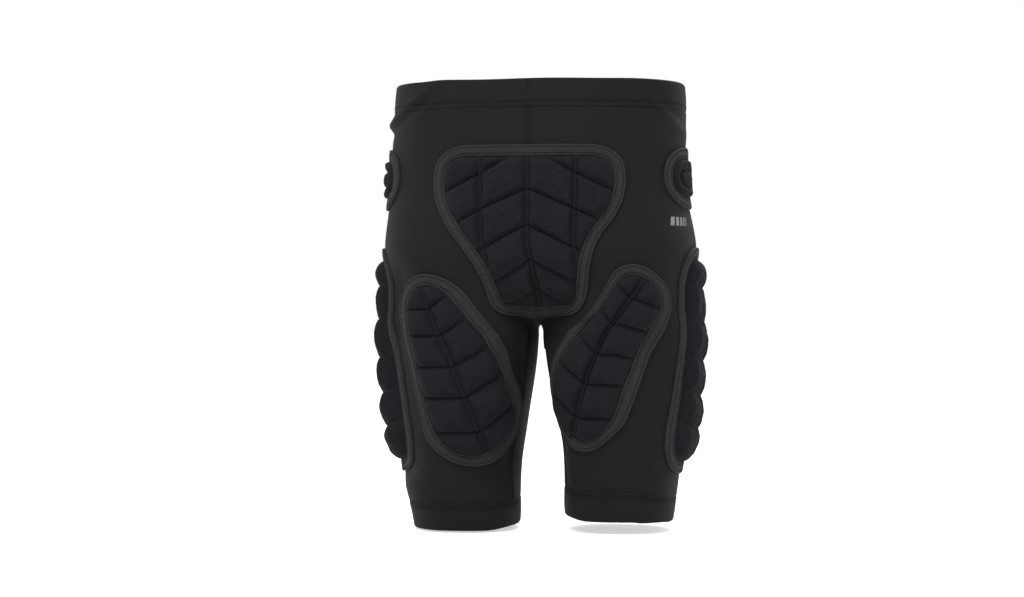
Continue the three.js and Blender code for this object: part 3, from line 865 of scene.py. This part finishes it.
# %% The stitch row tree
def stitch_tree():
    tree = bpy.data.node_groups.new("stitch_row", "GeometryNodeTree")
    add_socket(tree, "Path", "NodeSocketGeometry")
    sockets = {
        "Spacing": add_socket(tree, "Spacing", "NodeSocketFloat", 0.003),
        "Length": add_socket(tree, "Length", "NodeSocketFloat", 0.0022),
        "Thread": add_socket(tree, "Thread", "NodeSocketFloat", 0.0005),
        "Finish": add_socket(tree, "Finish", "NodeSocketMaterial"),
    }
    add_socket(tree, "Stitches", "NodeSocketGeometry", out=True)
    given = node(tree, "NodeGroupInput").outputs
    path = node(tree, "GeometryNodeMeshToCurve", {"Mesh": given["Path"]})
    steps = {"Curve": path.outputs["Curve"], "Length": given["Spacing"]}
    even = node(tree, "GeometryNodeResampleCurve", steps, mode="LENGTH")
    way_out = node(tree, "GeometryNodeInputNamedAttribute", {"Name": "out"}, data_type="FLOAT_VECTOR")
    tangent = node(tree, "GeometryNodeInputTangent")
    turn = node(tree, "FunctionNodeAxesToRotation", primary_axis="Z", secondary_axis="X")
    feed(tree, turn, {"Primary Axis": way_out.outputs["Attribute"], "Secondary Axis": tangent.outputs[0]})
    start, end = [
        node(tree, "ShaderNodeCombineXYZ", {"X": maths(tree, "MULTIPLY", given["Length"], sign)}).outputs[0]
        for sign in (-0.5, 0.5)
    ]
    crest = node(tree, "ShaderNodeCombineXYZ", {"Z": maths(tree, "MULTIPLY", given["Thread"], 1.2)})
    bend = {"Resolution": 3, "Start": start, "Middle": crest.outputs[0], "End": end}
    arch = node(tree, "GeometryNodeCurveQuadraticBezier", bend)
    round_thread = node(tree, "GeometryNodeCurvePrimitiveCircle", {"Resolution": 5})
    feed(tree, round_thread, {"Radius": maths(tree, "MULTIPLY", given["Thread"], 0.5)})
    tube = {"Curve": arch.outputs[0], "Profile Curve": round_thread.outputs[0], "Fill Caps": True}
    thread = node(tree, "GeometryNodeCurveToMesh", tube)
    placed = {"Points": even.outputs["Curve"], "Instance": thread.outputs["Mesh"]}
    copies = node(tree, "GeometryNodeInstanceOnPoints", placed | {"Rotation": turn.outputs["Rotation"]})
    real = node(tree, "GeometryNodeRealizeInstances", {"Geometry": copies.outputs["Instances"]})
    look = {"Geometry": real.outputs["Geometry"], "Material": given["Finish"]}
    painted = node(tree, "GeometryNodeSetMaterial", look)
    node(tree, "NodeGroupOutput", {"Stitches": painted.outputs["Geometry"]})
    return tree, {name: socket.identifier for name, socket in sockets.items()}


stitch_row, stitch_input = stitch_tree()


# %% Rows of stitches as plain meshes
def add_stitches(name, rows, spacing=3.0, length=2.2, thread=0.55):
    """rows are (points, ways out, closed), in millimetres above the hems."""
    points, outs, edges, count = [], [], [], 0
    for row, out, closed in rows:
        size = len(row)
        index = np.arange(size if closed else size - 1)
        edges.append(np.stack([index, (index + 1) % size], -1) + count)
        points.append((hang(row) - (0, 0, height)) * MM)
        outs.append(out)
        count += size
    mesh = bpy.data.meshes.new(name + "_path")
    mesh.from_pydata(np.concatenate(points), np.concatenate(edges).tolist(), [])
    way_out = mesh.attributes.new("out", "FLOAT_VECTOR", "POINT")
    way_out.data.foreach_set("vector", np.concatenate(outs).ravel())
    path = bpy.data.objects.new(name + "_path", mesh)
    bpy.context.scene.collection.objects.link(path)
    rows_modifier = path.modifiers.new("stitches", "NODES")
    rows_modifier.node_group = stitch_row
    rows_modifier[stitch_input["Spacing"]] = spacing * MM
    rows_modifier[stitch_input["Length"]] = length * MM
    rows_modifier[stitch_input["Thread"]] = thread * MM
    rows_modifier[stitch_input["Finish"]] = black_thread
    bpy.context.view_layer.update()
    sewn = bpy.data.meshes.new_from_object(path.evaluated_get(bpy.context.evaluated_depsgraph_get()))
    bpy.data.objects.remove(path)
    sewn.shade_smooth()
    piece = make_piece(name, sewn, black_thread)
    print(f"{name}: {len(sewn.polygons)} faces")
    return piece


def both_sides(rows):
    mirror = np.array([-1, 1, 1])
    return rows + [(row * mirror, out * mirror, closed) for row, out, closed in rows]


def row_on(place, distance, closed=False):
    return raised(place, distance), place[1], closed


# %% Seam, waistband and hem stitches
def seam_rows():
    z_leg = np.linspace(shell_bottom + 2, gusset_top[-1] - 6, 110)
    z_body = np.linspace(gusset_top[-1] + 4, shell_top - 2, 120)
    side_z = np.linspace(shell_bottom + 2, shell_top - 2, 230)
    rows = []
    for facing in (-1, 1):
        for beside in (-2.2, 2.2):
            angle = facing * (math.pi - gusset_half_angle + beside / leg_half(z_leg))
            rows.append(row_on(round_leg(angle, z_leg), cloth + 0.1))
        rows.append(row_on(round_leg(facing * 2.0 / leg_half(side_z), side_z), cloth + 0.1))
        centre = centre_angle(z_body, facing) - 2.0 / leg_half(z_body) * 0.75
        rows.append(row_on(round_leg(facing * centre, z_body), cloth + 0.1))
    return both_sides(rows)


def band_rows():
    place = round_waist(whole_turn, np.full_like(whole_turn, band_edge + band_stitch))
    return [row_on(place, cloth + 0.35, True)]


def hem_rows():
    rows = []
    for line in hem_stitches:
        rows.append(row_on(level_leg(hem_turn, np.full_like(hem_turn, line)), cloth + 0.15, True))
    return both_sides(rows)


add_stitches("seam_stitches", seam_rows(), spacing=2.6, length=2.0, thread=0.45)
add_stitches("waistband_stitches", band_rows(), spacing=2.8)
add_stitches("hem_stitches", hem_rows(), spacing=2.8)

# %% [markdown]
# ## Pads
#
# A pad starts as a flat outline with rounded corners. Inside it, a height says how thick the foam is:
# it climbs in a rounded wall from the tape, stays nearly flat, and drops into grooves along the
# channels that let the pad bend. The flat shape is filled with small triangles, laid on the body by
# its chart, lifted by the height, and last puffed by a short cloth simulation.


# %% Flat outlines
def evenly(points, spacing):
    """Walks a closed line in even steps."""
    loop = np.concatenate([points, points[:1]])
    steps = np.linalg.norm(np.diff(loop, axis=0), axis=1)
    walked = np.concatenate([[0], np.cumsum(steps)])
    count = int(round(walked[-1] / spacing))
    at = np.linspace(0, walked[-1], count, endpoint=False)
    return np.stack([np.interp(at, walked, loop[:, k]) for k in (0, 1)], -1)


def rounded_outline(corners):
    """Corners are (across, up, how far the rounding reaches along each side)."""
    place = np.array([c[:2] for c in corners], float)
    line = []
    for i, (_, _, cut) in enumerate(corners):
        corner, before, after = place[i], place[i - 1], place[(i + 1) % len(place)]
        start = corner + (before - corner) * min(cut / np.linalg.norm(before - corner), 0.5)
        end = corner + (after - corner) * min(cut / np.linalg.norm(after - corner), 0.5)
        for t in np.linspace(0, 1, 24):
            line.append((1 - t) ** 2 * start + 2 * t * (1 - t) * corner + t * t * end)
    return np.array(line)


def mirrored(corners):
    return corners + [(-x, y, cut) for x, y, cut in reversed(corners)]


def tapered_outline(top, top_radius, bottom, bottom_radius):
    axis = np.subtract(top, bottom)
    lean = math.atan2(axis[1], axis[0])
    quarter = math.pi / 2 - math.asin((bottom_radius - top_radius) / np.hypot(*axis))
    round_top = np.linspace(lean - quarter, lean + quarter, 60)
    round_bottom = np.linspace(lean + quarter, lean + 2 * math.pi - quarter, 80)

    def circle(centre, radius, turn):
        return np.array(centre) + radius * np.stack([np.cos(turn), np.sin(turn)], -1)

    return np.concatenate([circle(top, top_radius, round_top), circle(bottom, bottom_radius, round_bottom)])


def inward_of(loop):
    along = np.roll(loop, -1, axis=0) - np.roll(loop, 1, axis=0)
    along /= np.linalg.norm(along, axis=1, keepdims=True)
    inward = np.stack([-along[:, 1], along[:, 0]], -1)
    area = np.sum(loop[:, 0] * np.roll(loop[:, 1], -1) - loop[:, 1] * np.roll(loop[:, 0], -1))
    return inward if area > 0 else -inward


# %% Distances in the flat pattern
def distance_to_lines(points, lines):
    """Distance from each point to the nearest of several open lines."""
    best = np.full(len(points), 1e9)
    for line in lines:
        for a, b in zip(line[:-1], line[1:]):
            along = b - a
            t = np.clip(((points - a) @ along) / (along @ along), 0, 1)
            best = np.minimum(best, np.linalg.norm(points - a - t[:, None] * along, axis=1))
    return best


def inside_loop(points, loop):
    x, y = points[:, :1], points[:, 1:]
    x0, y0 = loop[:, 0], loop[:, 1]
    x1, y1 = np.roll(x0, -1), np.roll(y0, -1)
    with np.errstate(divide="ignore", invalid="ignore"):
        cuts = ((y0 > y) != (y1 > y)) & (x < (x1 - x0) * (y - y0) / (y1 - y0) + x0)
    return cuts.sum(axis=1) % 2 == 1


def fill_with_triangles(loop, lines, spacing):
    """Points and triangles that fill a loop, with rows of points along the given lines."""
    low, high = loop.min(axis=0), loop.max(axis=0)
    xs = np.arange(low[0], high[0], spacing)
    ys = np.arange(low[1], high[1], spacing * 0.87)
    gx, gy = np.meshgrid(xs, ys)
    gx[1::2] += spacing / 2
    grid = np.stack([gx.ravel(), gy.ravel()], -1)
    on_lines = []
    for line in lines:
        for a, b in zip(line[:-1], line[1:]):
            steps = max(2, int(np.linalg.norm(b - a) / spacing))
            on_lines.append(a + (b - a) * np.linspace(0, 1, steps, endpoint=False)[:, None])
    closed = np.concatenate([loop, loop[:1]])
    if on_lines:
        on_lines = np.concatenate(on_lines)
        grid = grid[distance_to_lines(grid, lines) > spacing * 0.6]
        grid = np.concatenate([on_lines, grid])
    grid = grid[inside_loop(grid, loop)]
    grid = grid[distance_to_lines(grid, [closed]) > spacing * 0.55]
    points = np.concatenate([loop, grid])
    edges = [(i, (i + 1) % len(loop)) for i in range(len(loop))]
    result = delaunay_2d_cdt([Vector(p) for p in points], edges, [], 1, 1e-4)
    flat = np.array([tuple(p) for p in result[0]])
    return flat, np.array([face for face in result[2] if len(face) == 3])


# %% The height of a pad
tape_width, tape_overlap = 12.0, 9.0
backing, skin = 0.5, 0.9
tape_thickness = 1.5
channel_half, channel_floor, pressed_width = 2.5, 0.52, 1.4
base = cloth + backing
wall_foot = tape_width + 0.3


def rounded_step(distance, run):
    """Climbs from 0 to 1 over the run, steeply at first, like a quarter of an ellipse."""
    t = np.clip(distance / run, 0, 1)
    return np.sqrt(np.maximum(0, 1 - (1 - t) ** 2))


def pad_height(pad, flat, rim_distance):
    """Height of the cover over its flange, and how pressed down each point is."""
    wall = rounded_step(rim_distance - wall_foot, pad["wall"])
    half_width, floor, run = pad["crease_shape"]
    creases = distance_to_lines(flat, pad["creases"])
    if "ring" in pad:
        creases = np.abs(rim_distance - wall_foot - pad["ring"])
    level = floor + (1 - floor) * rounded_step(creases - half_width, run)

    # A channel is a low flat strip with a pressed line along each side.
    channels = distance_to_lines(flat, pad["channels"])
    strip = channel_floor + (1 - channel_floor) * rounded_step(channels - channel_half, run)
    pressed = np.maximum(0, 1 - np.abs(channels - channel_half) / pressed_width)
    level = np.minimum(level, strip) - 0.32 * pressed
    nearest = np.minimum(creases, channels)
    crown = 1 + pad["crown"] * (smooth(np.minimum(nearest, 15) / 15) - 1)
    # A long pad thins out towards its ends.
    if "ends" in pad:
        low_end, high_end = pad["ends"]
        up = flat[:, 1]
        crown = crown * mix(0.5, 1, smooth((up - low_end) / 48)) * mix(0.6, 1, smooth((high_end - up) / 36))
    return pad["height"] * wall * level * crown, nearest


# %% [markdown]
# The puffing is a real cloth simulation. The rim and the bottoms of the grooves are pinned, as the
# moulding presses them down, and air pressure swells what is between. Twelve frames are plenty, and a
# cap on how far a point may move keeps the pad inside its allotted space.


# %% Puffing with a cloth simulation
def puffed(points, faces, pinned, cap):
    """Runs a short cloth simulation on an open sheet and returns its points."""
    mesh = bpy.data.meshes.new("puffing")
    mesh.from_pydata((points * MM).tolist(), [], faces.tolist())
    sheet = bpy.data.objects.new("puffing", mesh)
    bpy.context.scene.collection.objects.link(sheet)
    pins = sheet.vertex_groups.new(name="pinned")
    for weight in (1.0, 0.5):
        chosen = np.flatnonzero((pinned >= weight) & (pinned < weight + 0.5))
        pins.add(chosen.tolist(), weight, "REPLACE")
    cloth_modifier = sheet.modifiers.new("cloth", "CLOTH")
    settings = cloth_modifier.settings
    settings.quality = 4
    settings.mass = 0.1
    settings.tension_stiffness = 12
    settings.compression_stiffness = 12
    settings.shear_stiffness = 6
    settings.bending_stiffness = 0.4
    settings.use_pressure = True
    settings.uniform_pressure_force = 5
    settings.shrink_min = -0.03
    settings.vertex_group_mass = "pinned"
    settings.effector_weights.gravity = 0
    cloth_modifier.collision_settings.use_collision = False
    scene = bpy.context.scene
    for frame_number in range(1, 13):
        scene.frame_set(frame_number)
    result = sheet.evaluated_get(bpy.context.evaluated_depsgraph_get()).to_mesh()
    swollen = np.empty(len(points) * 3, np.float32)
    result.vertices.foreach_get("co", swollen)
    moved = swollen.reshape(-1, 3) / MM - points
    bpy.data.objects.remove(sheet)
    scene.frame_set(1)
    far = np.linalg.norm(moved, axis=1, keepdims=True)
    print(f"  puffed by {far.mean():.2f} mm on average, {far.max():.2f} mm at most")
    return points + moved * np.minimum(1, cap / np.maximum(far, 1e-9))


# %% The tape's section
def tape_outline():
    """Points (inward from the rim, height above the shell) round the binding tape's section."""
    under = base + skin + 0.25
    top = under + tape_thickness
    across = np.linspace(1.0, tape_width - 0.9, 29)
    crown = 0.25 * np.sin(math.pi * across / tape_width)
    dips = 0.7 * (bump(across - 2.8, 0.55) + bump(across - 9.2, 0.55))
    upper = np.stack([across, top + crown - dips], -1)
    outer_edge = [(0, base - 0.2), (0, base + 0.9), (0.25, top - 0.5)]
    inner_edge = [(tape_width - 0.3, top - 0.4), (tape_width, top - 0.9), (tape_width - 0.1, under)]
    lower = [(tape_width - tape_overlap + 0.5, under), (tape_width - tape_overlap - 0.3, base - 0.2)]
    return np.concatenate([outer_edge, upper, inner_edge, lower])


tape_profile = tape_outline()
stitch_insets = (2.8, 9.2)
tape_stitch_height = base + skin + 0.25 + tape_thickness - 0.25


def add_tape(name, pad, loop):
    inward = inward_of(loop)
    flat = loop[:, None] + inward[:, None] * tape_profile[None, :, :1]
    place = pad["chart"](flat[..., 0], flat[..., 1])
    points = raised(place, np.broadcast_to(tape_profile[:, 1], flat.shape[:2]))
    ring, size = points.shape[:2]
    faces = grid_faces(ring + 1, size, wrap=True) % (ring * size)
    walked = np.arange(ring + 1) * np.linalg.norm(loop[1] - loop[0])
    around = np.concatenate([[0], np.cumsum(np.linalg.norm(np.diff(tape_profile, axis=0), axis=1)), [0]])
    corner = np.stack(np.broadcast_arrays(walked[:, None], around[None, :]), -1)
    a, b, c, d = corner[:-1, :-1], corner[:-1, 1:], corner[1:, 1:], corner[1:, :-1]
    corner_uv = np.stack([a, b, c, d], 2).reshape(-1, 4, 2)
    for side, sign in pad["sides"]:
        full_name = f"{name}_binding{side}"
        mesh = make_mesh(full_name + "_tape", points.reshape(-1, 3), [faces], None, sign, [corner_uv])
        make_piece(full_name + "_tape", mesh, ribbed_tape, [full_name])
    rows = []
    for inset in stitch_insets:
        line = loop + inward * inset
        rows.append(row_on(pad["chart"](line[:, 0], line[:, 1]), tape_stitch_height, True))
    return rows if pad["sides"][0][0] == "" else both_sides(rows)


# %% A whole pad
fine = 1.6


def beside(line, offset):
    """A copy of a line, moved sideways."""
    along = (line[-1] - line[0]) / np.linalg.norm(line[-1] - line[0])
    return line + offset * np.array([-along[1], along[0]])


def add_pad(name, pad):
    loop = evenly(pad["outline"], 2.0)
    flange = loop + inward_of(loop) * (tape_width - tape_overlap)
    rows = pad["creases"] + pad["channels"]
    for line in pad["channels"]:
        for offset in (channel_half - pressed_width, channel_half, channel_half + pressed_width):
            rows = rows + [beside(line, -offset), beside(line, offset)]
    for line in pad["creases"]:
        rows = rows + [beside(line, -1.7), beside(line, 1.7)]
    flat, faces = fill_with_triangles(flange, rows, fine)
    rim_distance = distance_to_lines(flat, [np.concatenate([loop, loop[:1]])])
    lift, from_groove = pad_height(pad, flat, rim_distance)
    place = pad["chart"](flat[:, 0], flat[:, 1])
    outer = raised(place, base + skin + lift)
    pinned = np.where((rim_distance < wall_foot + 1.5) | (from_groove < 2.8), 1.0, 0.0)
    outer = puffed(outer, faces, pinned, pad["cap"])
    inner = outer - place[1] * skin
    points, groups = closed_solid(outer, inner, faces)
    core = (rim_distance > wall_foot + 3.0)[faces].all(axis=1)
    core_faces = faces[core]
    used, packed = np.unique(core_faces, return_inverse=True)
    core_faces = packed.reshape(-1, 3)
    foam_top = inner[used] - place[1][used] * 0.3
    foam_bottom = raised((place[0][used], place[1][used]), np.full(len(used), base + 0.3))
    foam_points, foam_groups = closed_solid(foam_top, foam_bottom, core_faces)
    for side, sign in pad["sides"]:
        cover = make_mesh(f"{name}_cover{side}_cloth", points, groups, np.concatenate([flat, flat]), sign)
        stands_for = [f"{name}_cover{side}"]
        piece = make_piece(f"{name}_cover{side}_cloth", cover, pad_laminate, stands_for)
        foam_flat = np.concatenate([flat[used], flat[used]])
        foam = make_mesh(f"{name}_foam{side}_core", foam_points, foam_groups, foam_flat, sign)
        core_piece = make_piece(f"{name}_foam{side}_core", foam, grey_foam, [f"{name}_foam{side}"])
        print(f"{name}{side}: cover {len(cover.polygons)} faces, foam {len(foam.polygons)} faces")
    return add_tape(name, pad, loop)


# %% [markdown]
# ## The pad patterns
#
# Heights are measured from crotch level. The groin and seat pads are shields with a flat channel down
# the middle, one each side of it, and creases that fall away from the middle like roof tiles. The
# thigh and side pads have a spine and creases that rise from it like a fern's leaves.


# %% Groin and seat patterns
def lines_of(*lines):
    return [np.array(line, float) for line in lines]


def both_ways(lines):
    return lines + [line * (-1, 1) for line in lines]


neck = float(leg_middle(inseam)) - 27.5
foot_up = {facing: gusset_top[facing] - inseam - 1.0 for facing in (-1, 1)}
pair = [("_left", 1), ("_right", -1)]
single = [("", 1)]

groin_channels = lines_of([(0, 200), (0, 10)], [(49, 200), (46, 60)], [(-49, 200), (-46, 60)])
groin_creases = both_ways(
    lines_of(
        [(0, 178), (49, 151), (90, 130)],
        [(0, 136), (47, 115), (88, 92)],
        [(0, 99), (44, 77), (66, 66)],
        [(0, 66), (60, 35)],
        [(0, 39), (50, 12)],
    )
)
groin_pad = dict(
    chart=onto(-1),
    sides=single,
    height=10.0,
    wall=11.0,
    crown=0.28,
    cap=2.5,
    outline=rounded_outline(
        mirrored([(neck - 8, foot_up[-1], 20), (neck, 60, 28), (100, 120, 34), (95, 181, 36)])
    ),
    channels=groin_channels,
    creases=groin_creases,
    crease_shape=(0.3, 0.18, 6.0),
)

seat_channels = lines_of([(0, 200), (0, 10)], [(56, 200), (50, 60)], [(-56, 200), (-50, 60)])
seat_creases = both_ways(
    lines_of(
        [(0, 170), (56, 142), (104, 120)],
        [(0, 130), (54, 104), (100, 82)],
        [(0, 92), (50, 68), (76, 56)],
        [(0, 58), (62, 28)],
    )
)
seat_pad = dict(
    chart=onto(1),
    sides=single,
    height=12.0,
    wall=12.0,
    crown=0.28,
    cap=2.5,
    outline=rounded_outline(
        mirrored([(neck - 8, foot_up[1], 20), (neck + 9, 60, 26), (116, 112, 36), (108, 178, 34)])
    ),
    channels=seat_channels,
    creases=seat_creases,
    crease_shape=(0.3, 0.18, 6.5),
)


# %% Thigh, side and hip patterns
def fern(top, bottom, places, arm, rise_angle):
    """A spine from top to bottom, and arms that rise from it at the given places along it."""
    top, bottom = np.array(top, float), np.array(bottom, float)
    up = (top - bottom) / np.linalg.norm(top - bottom)
    beside = np.array([up[1], -up[0]])
    arms = []
    for share in places:
        root = bottom + (top - bottom) * share
        for sign in (-1, 1):
            tip = root + arm * (sign * beside * math.cos(rise_angle) + up * math.sin(rise_angle))
            arms.append(np.array([root, tip]))
    return [np.array([top, bottom])], arms


thigh_spine, thigh_arms = fern((32, 48), (-40, -146), [0.17, 0.355, 0.52, 0.685, 0.82], 60, math.radians(20))
thigh_pad = dict(
    chart=wrapped(-math.pi / 2),
    sides=pair,
    height=9.5,
    wall=12.0,
    crown=0.28,
    cap=2.5,
    outline=tapered_outline((23, 13), 37, (-24, -96), 53),
    channels=thigh_spine,
    creases=thigh_arms,
    crease_shape=(0.3, 0.18, 6.5),
)

side_places = [0.148, 0.296, 0.452, 0.624, 0.783, 0.94]
side_spine, side_arms = fern((0, 80), (0, -150), side_places, 64, math.radians(17))
side_pad = dict(
    chart=wrapped(0.0),
    sides=pair,
    height=14.2,
    wall=10.0,
    crown=0.16,
    cap=2.5,
    outline=rounded_outline(mirrored([(side_pad_half, -159, 50), (56, 78, 40)])),
    channels=side_spine,
    creases=side_arms,
    crease_shape=(0.3, 0.62, 8.0),
    ends=(-156, 76),
)

hip_pad = dict(
    chart=wrapped(-math.radians(13)),
    sides=pair,
    height=5.6,
    wall=5.0,
    crown=0.0,
    cap=1.5,
    outline=rounded_outline(mirrored([(50, 117, 50), (50, 182, 50)])),
    channels=[],
    creases=[],
    crease_shape=(0.6, 0.2, 4.5),
    ring=11.0,
)

# %% Make the pads
tape_rows = []
for pad_name, pattern in (
    ("groin_pad", groin_pad),
    ("seat_pad", seat_pad),
    ("thigh_pad", thigh_pad),
    ("side_pad", side_pad),
    ("hip_pad", hip_pad),
):
    tape_rows += add_pad(pad_name, pattern)
add_stitches("tape_stitches", tape_rows, spacing=3.0, length=2.1, thread=0.5)

# %% [markdown]
# ## A printed mark
#
# Such shorts carry a small reflective print at the wearer's left hip. Ours is a plain row of slanted
# bars. Each bar is a thin film that lies just above the cloth.


# %% The printed mark
def printed_bar(across, up, width, tall, lean):
    rows, columns = 9, 6
    v = np.linspace(0, 1, rows)[:, None]
    u = np.linspace(0, 1, columns)[None, :]
    x = across + u * width + v * lean
    y = up + v * tall + 0 * u
    place = wrapped(0.0)(x, y)
    outer = raised(place, np.full(x.shape, cloth + 0.22)).reshape(-1, 3)
    inner = raised(place, np.full(x.shape, cloth + 0.08)).reshape(-1, 3)
    return (*closed_solid(outer, inner, grid_faces(rows, columns)), np.stack([x, y], -1).reshape(-1, 2))


mark_points, mark_groups, mark_flat, offset = [], [], [], 0
for across, width in ((-70, 6), (-61.5, 5), (-54, 4), (-47.5, 3), (-42, 2)):
    points, groups, flat = printed_bar(across, 99.0, width, 9.0, 3.0)
    mark_points.append(points)
    mark_groups += [faces + offset for faces in groups]
    mark_flat += [flat, flat]
    offset += len(points)
mark = make_mesh("hip_mark_print", np.concatenate(mark_points), mark_groups, np.concatenate(mark_flat))
make_piece("hip_mark_print", mark, reflective_film)
print("mark:", len(mark.polygons), "faces")

# %% [markdown]
# ## Floor, light and camera
#
# Black cloth needs large soft lights, or its shape is lost. The floor and the sky are both close to
# white, so no horizon shows. Each looks bright to the camera but lights the shorts less than it
# looks, or the black would turn grey. One big panel lights the front from above, and one the back.

# %% Floor
floor_z = cad_low[2] - 0.004


def add_floor():
    reach = 12.0
    points = [(x * reach, y * reach, floor_z) for x, y in ((-1, -1), (1, -1), (1, 1), (-1, 1))]
    faces = [(0, 1, 2, 3)]
    mesh = bpy.data.meshes.new("floor")
    mesh.from_pydata(points, [], faces)
    floor = bpy.data.objects.new("floor", mesh)
    bpy.context.scene.collection.objects.link(floor)
    paper = bpy.data.materials.new("pale_paper")
    paper.use_nodes = True
    tree = paper.node_tree
    looked_at = node(tree, "ShaderNodeLightPath").outputs["Is Camera Ray"]
    glow = maths(tree, "MULTIPLY_ADD", looked_at, 0.5, 0.05)
    pale, white = (0.92, 0.92, 0.92, 1), (1, 1, 1, 1)
    surface = {"Base Color": pale, "Emission Color": white, "Emission Strength": glow, "Roughness": 0.9}
    feed(tree, tree.nodes["Principled BSDF"], surface)
    mesh.materials.append(paper)


add_floor()


# %% Lights
def add_light(name, place, size, power, target=(0, 0, -0.22)):
    lamp = bpy.data.lights.new(name, "AREA")
    lamp.shape = "RECTANGLE"
    lamp.size, lamp.size_y = size
    lamp.energy = power
    light = bpy.data.objects.new(name, lamp)
    light.location = place
    light.rotation_euler = (Vector(target) - Vector(place)).to_track_quat("-Z", "Y").to_euler()
    bpy.context.scene.collection.objects.link(light)


add_light("key", (-0.5, -1.9, 2.3), (1.8, 1.2), 84)
add_light("back", (0.6, 2.1, 1.9), (1.8, 1.2), 50)
add_light("fill", (1.8, -1.9, 0.4), (1.4, 1.8), 5)
add_light("rim_left", (-1.9, 0.9, 0.6), (0.8, 1.8), 3.5)
add_light("rim_right", (1.9, 0.9, 0.6), (0.8, 1.8), 3.5)
world = bpy.data.worlds.new("studio")
world.use_nodes = True
sky = world.node_tree
seen = node(sky, "ShaderNodeLightPath").outputs["Is Camera Ray"]
dimmed = maths(sky, "MULTIPLY_ADD", seen, 0.45, 0.55)
feed(sky, sky.nodes["Background"], {"Color": (1, 1, 1, 1), "Strength": dimmed})
bpy.context.scene.world = world
bpy.context.scene.view_settings.view_transform = "Standard"

# %% Camera
camera_turn = math.radians(7.5)
camera_distance, camera_height = 2.2, (244.0 - height) * MM
camera = bpy.data.objects.new("camera", bpy.data.cameras.new("camera"))
camera_x = camera_distance * math.sin(camera_turn)
camera_y = -camera_distance * math.cos(camera_turn)
camera.location = (camera_x, camera_y, camera_height)
camera.rotation_euler = (math.pi / 2, 0, camera_turn)
camera.data.sensor_width = 36
camera.data.lens = 72.7
camera.data.shift_x = -0.0283
camera.data.shift_y = -0.0034
bpy.context.scene.collection.objects.link(camera)
bpy.context.scene.camera = camera
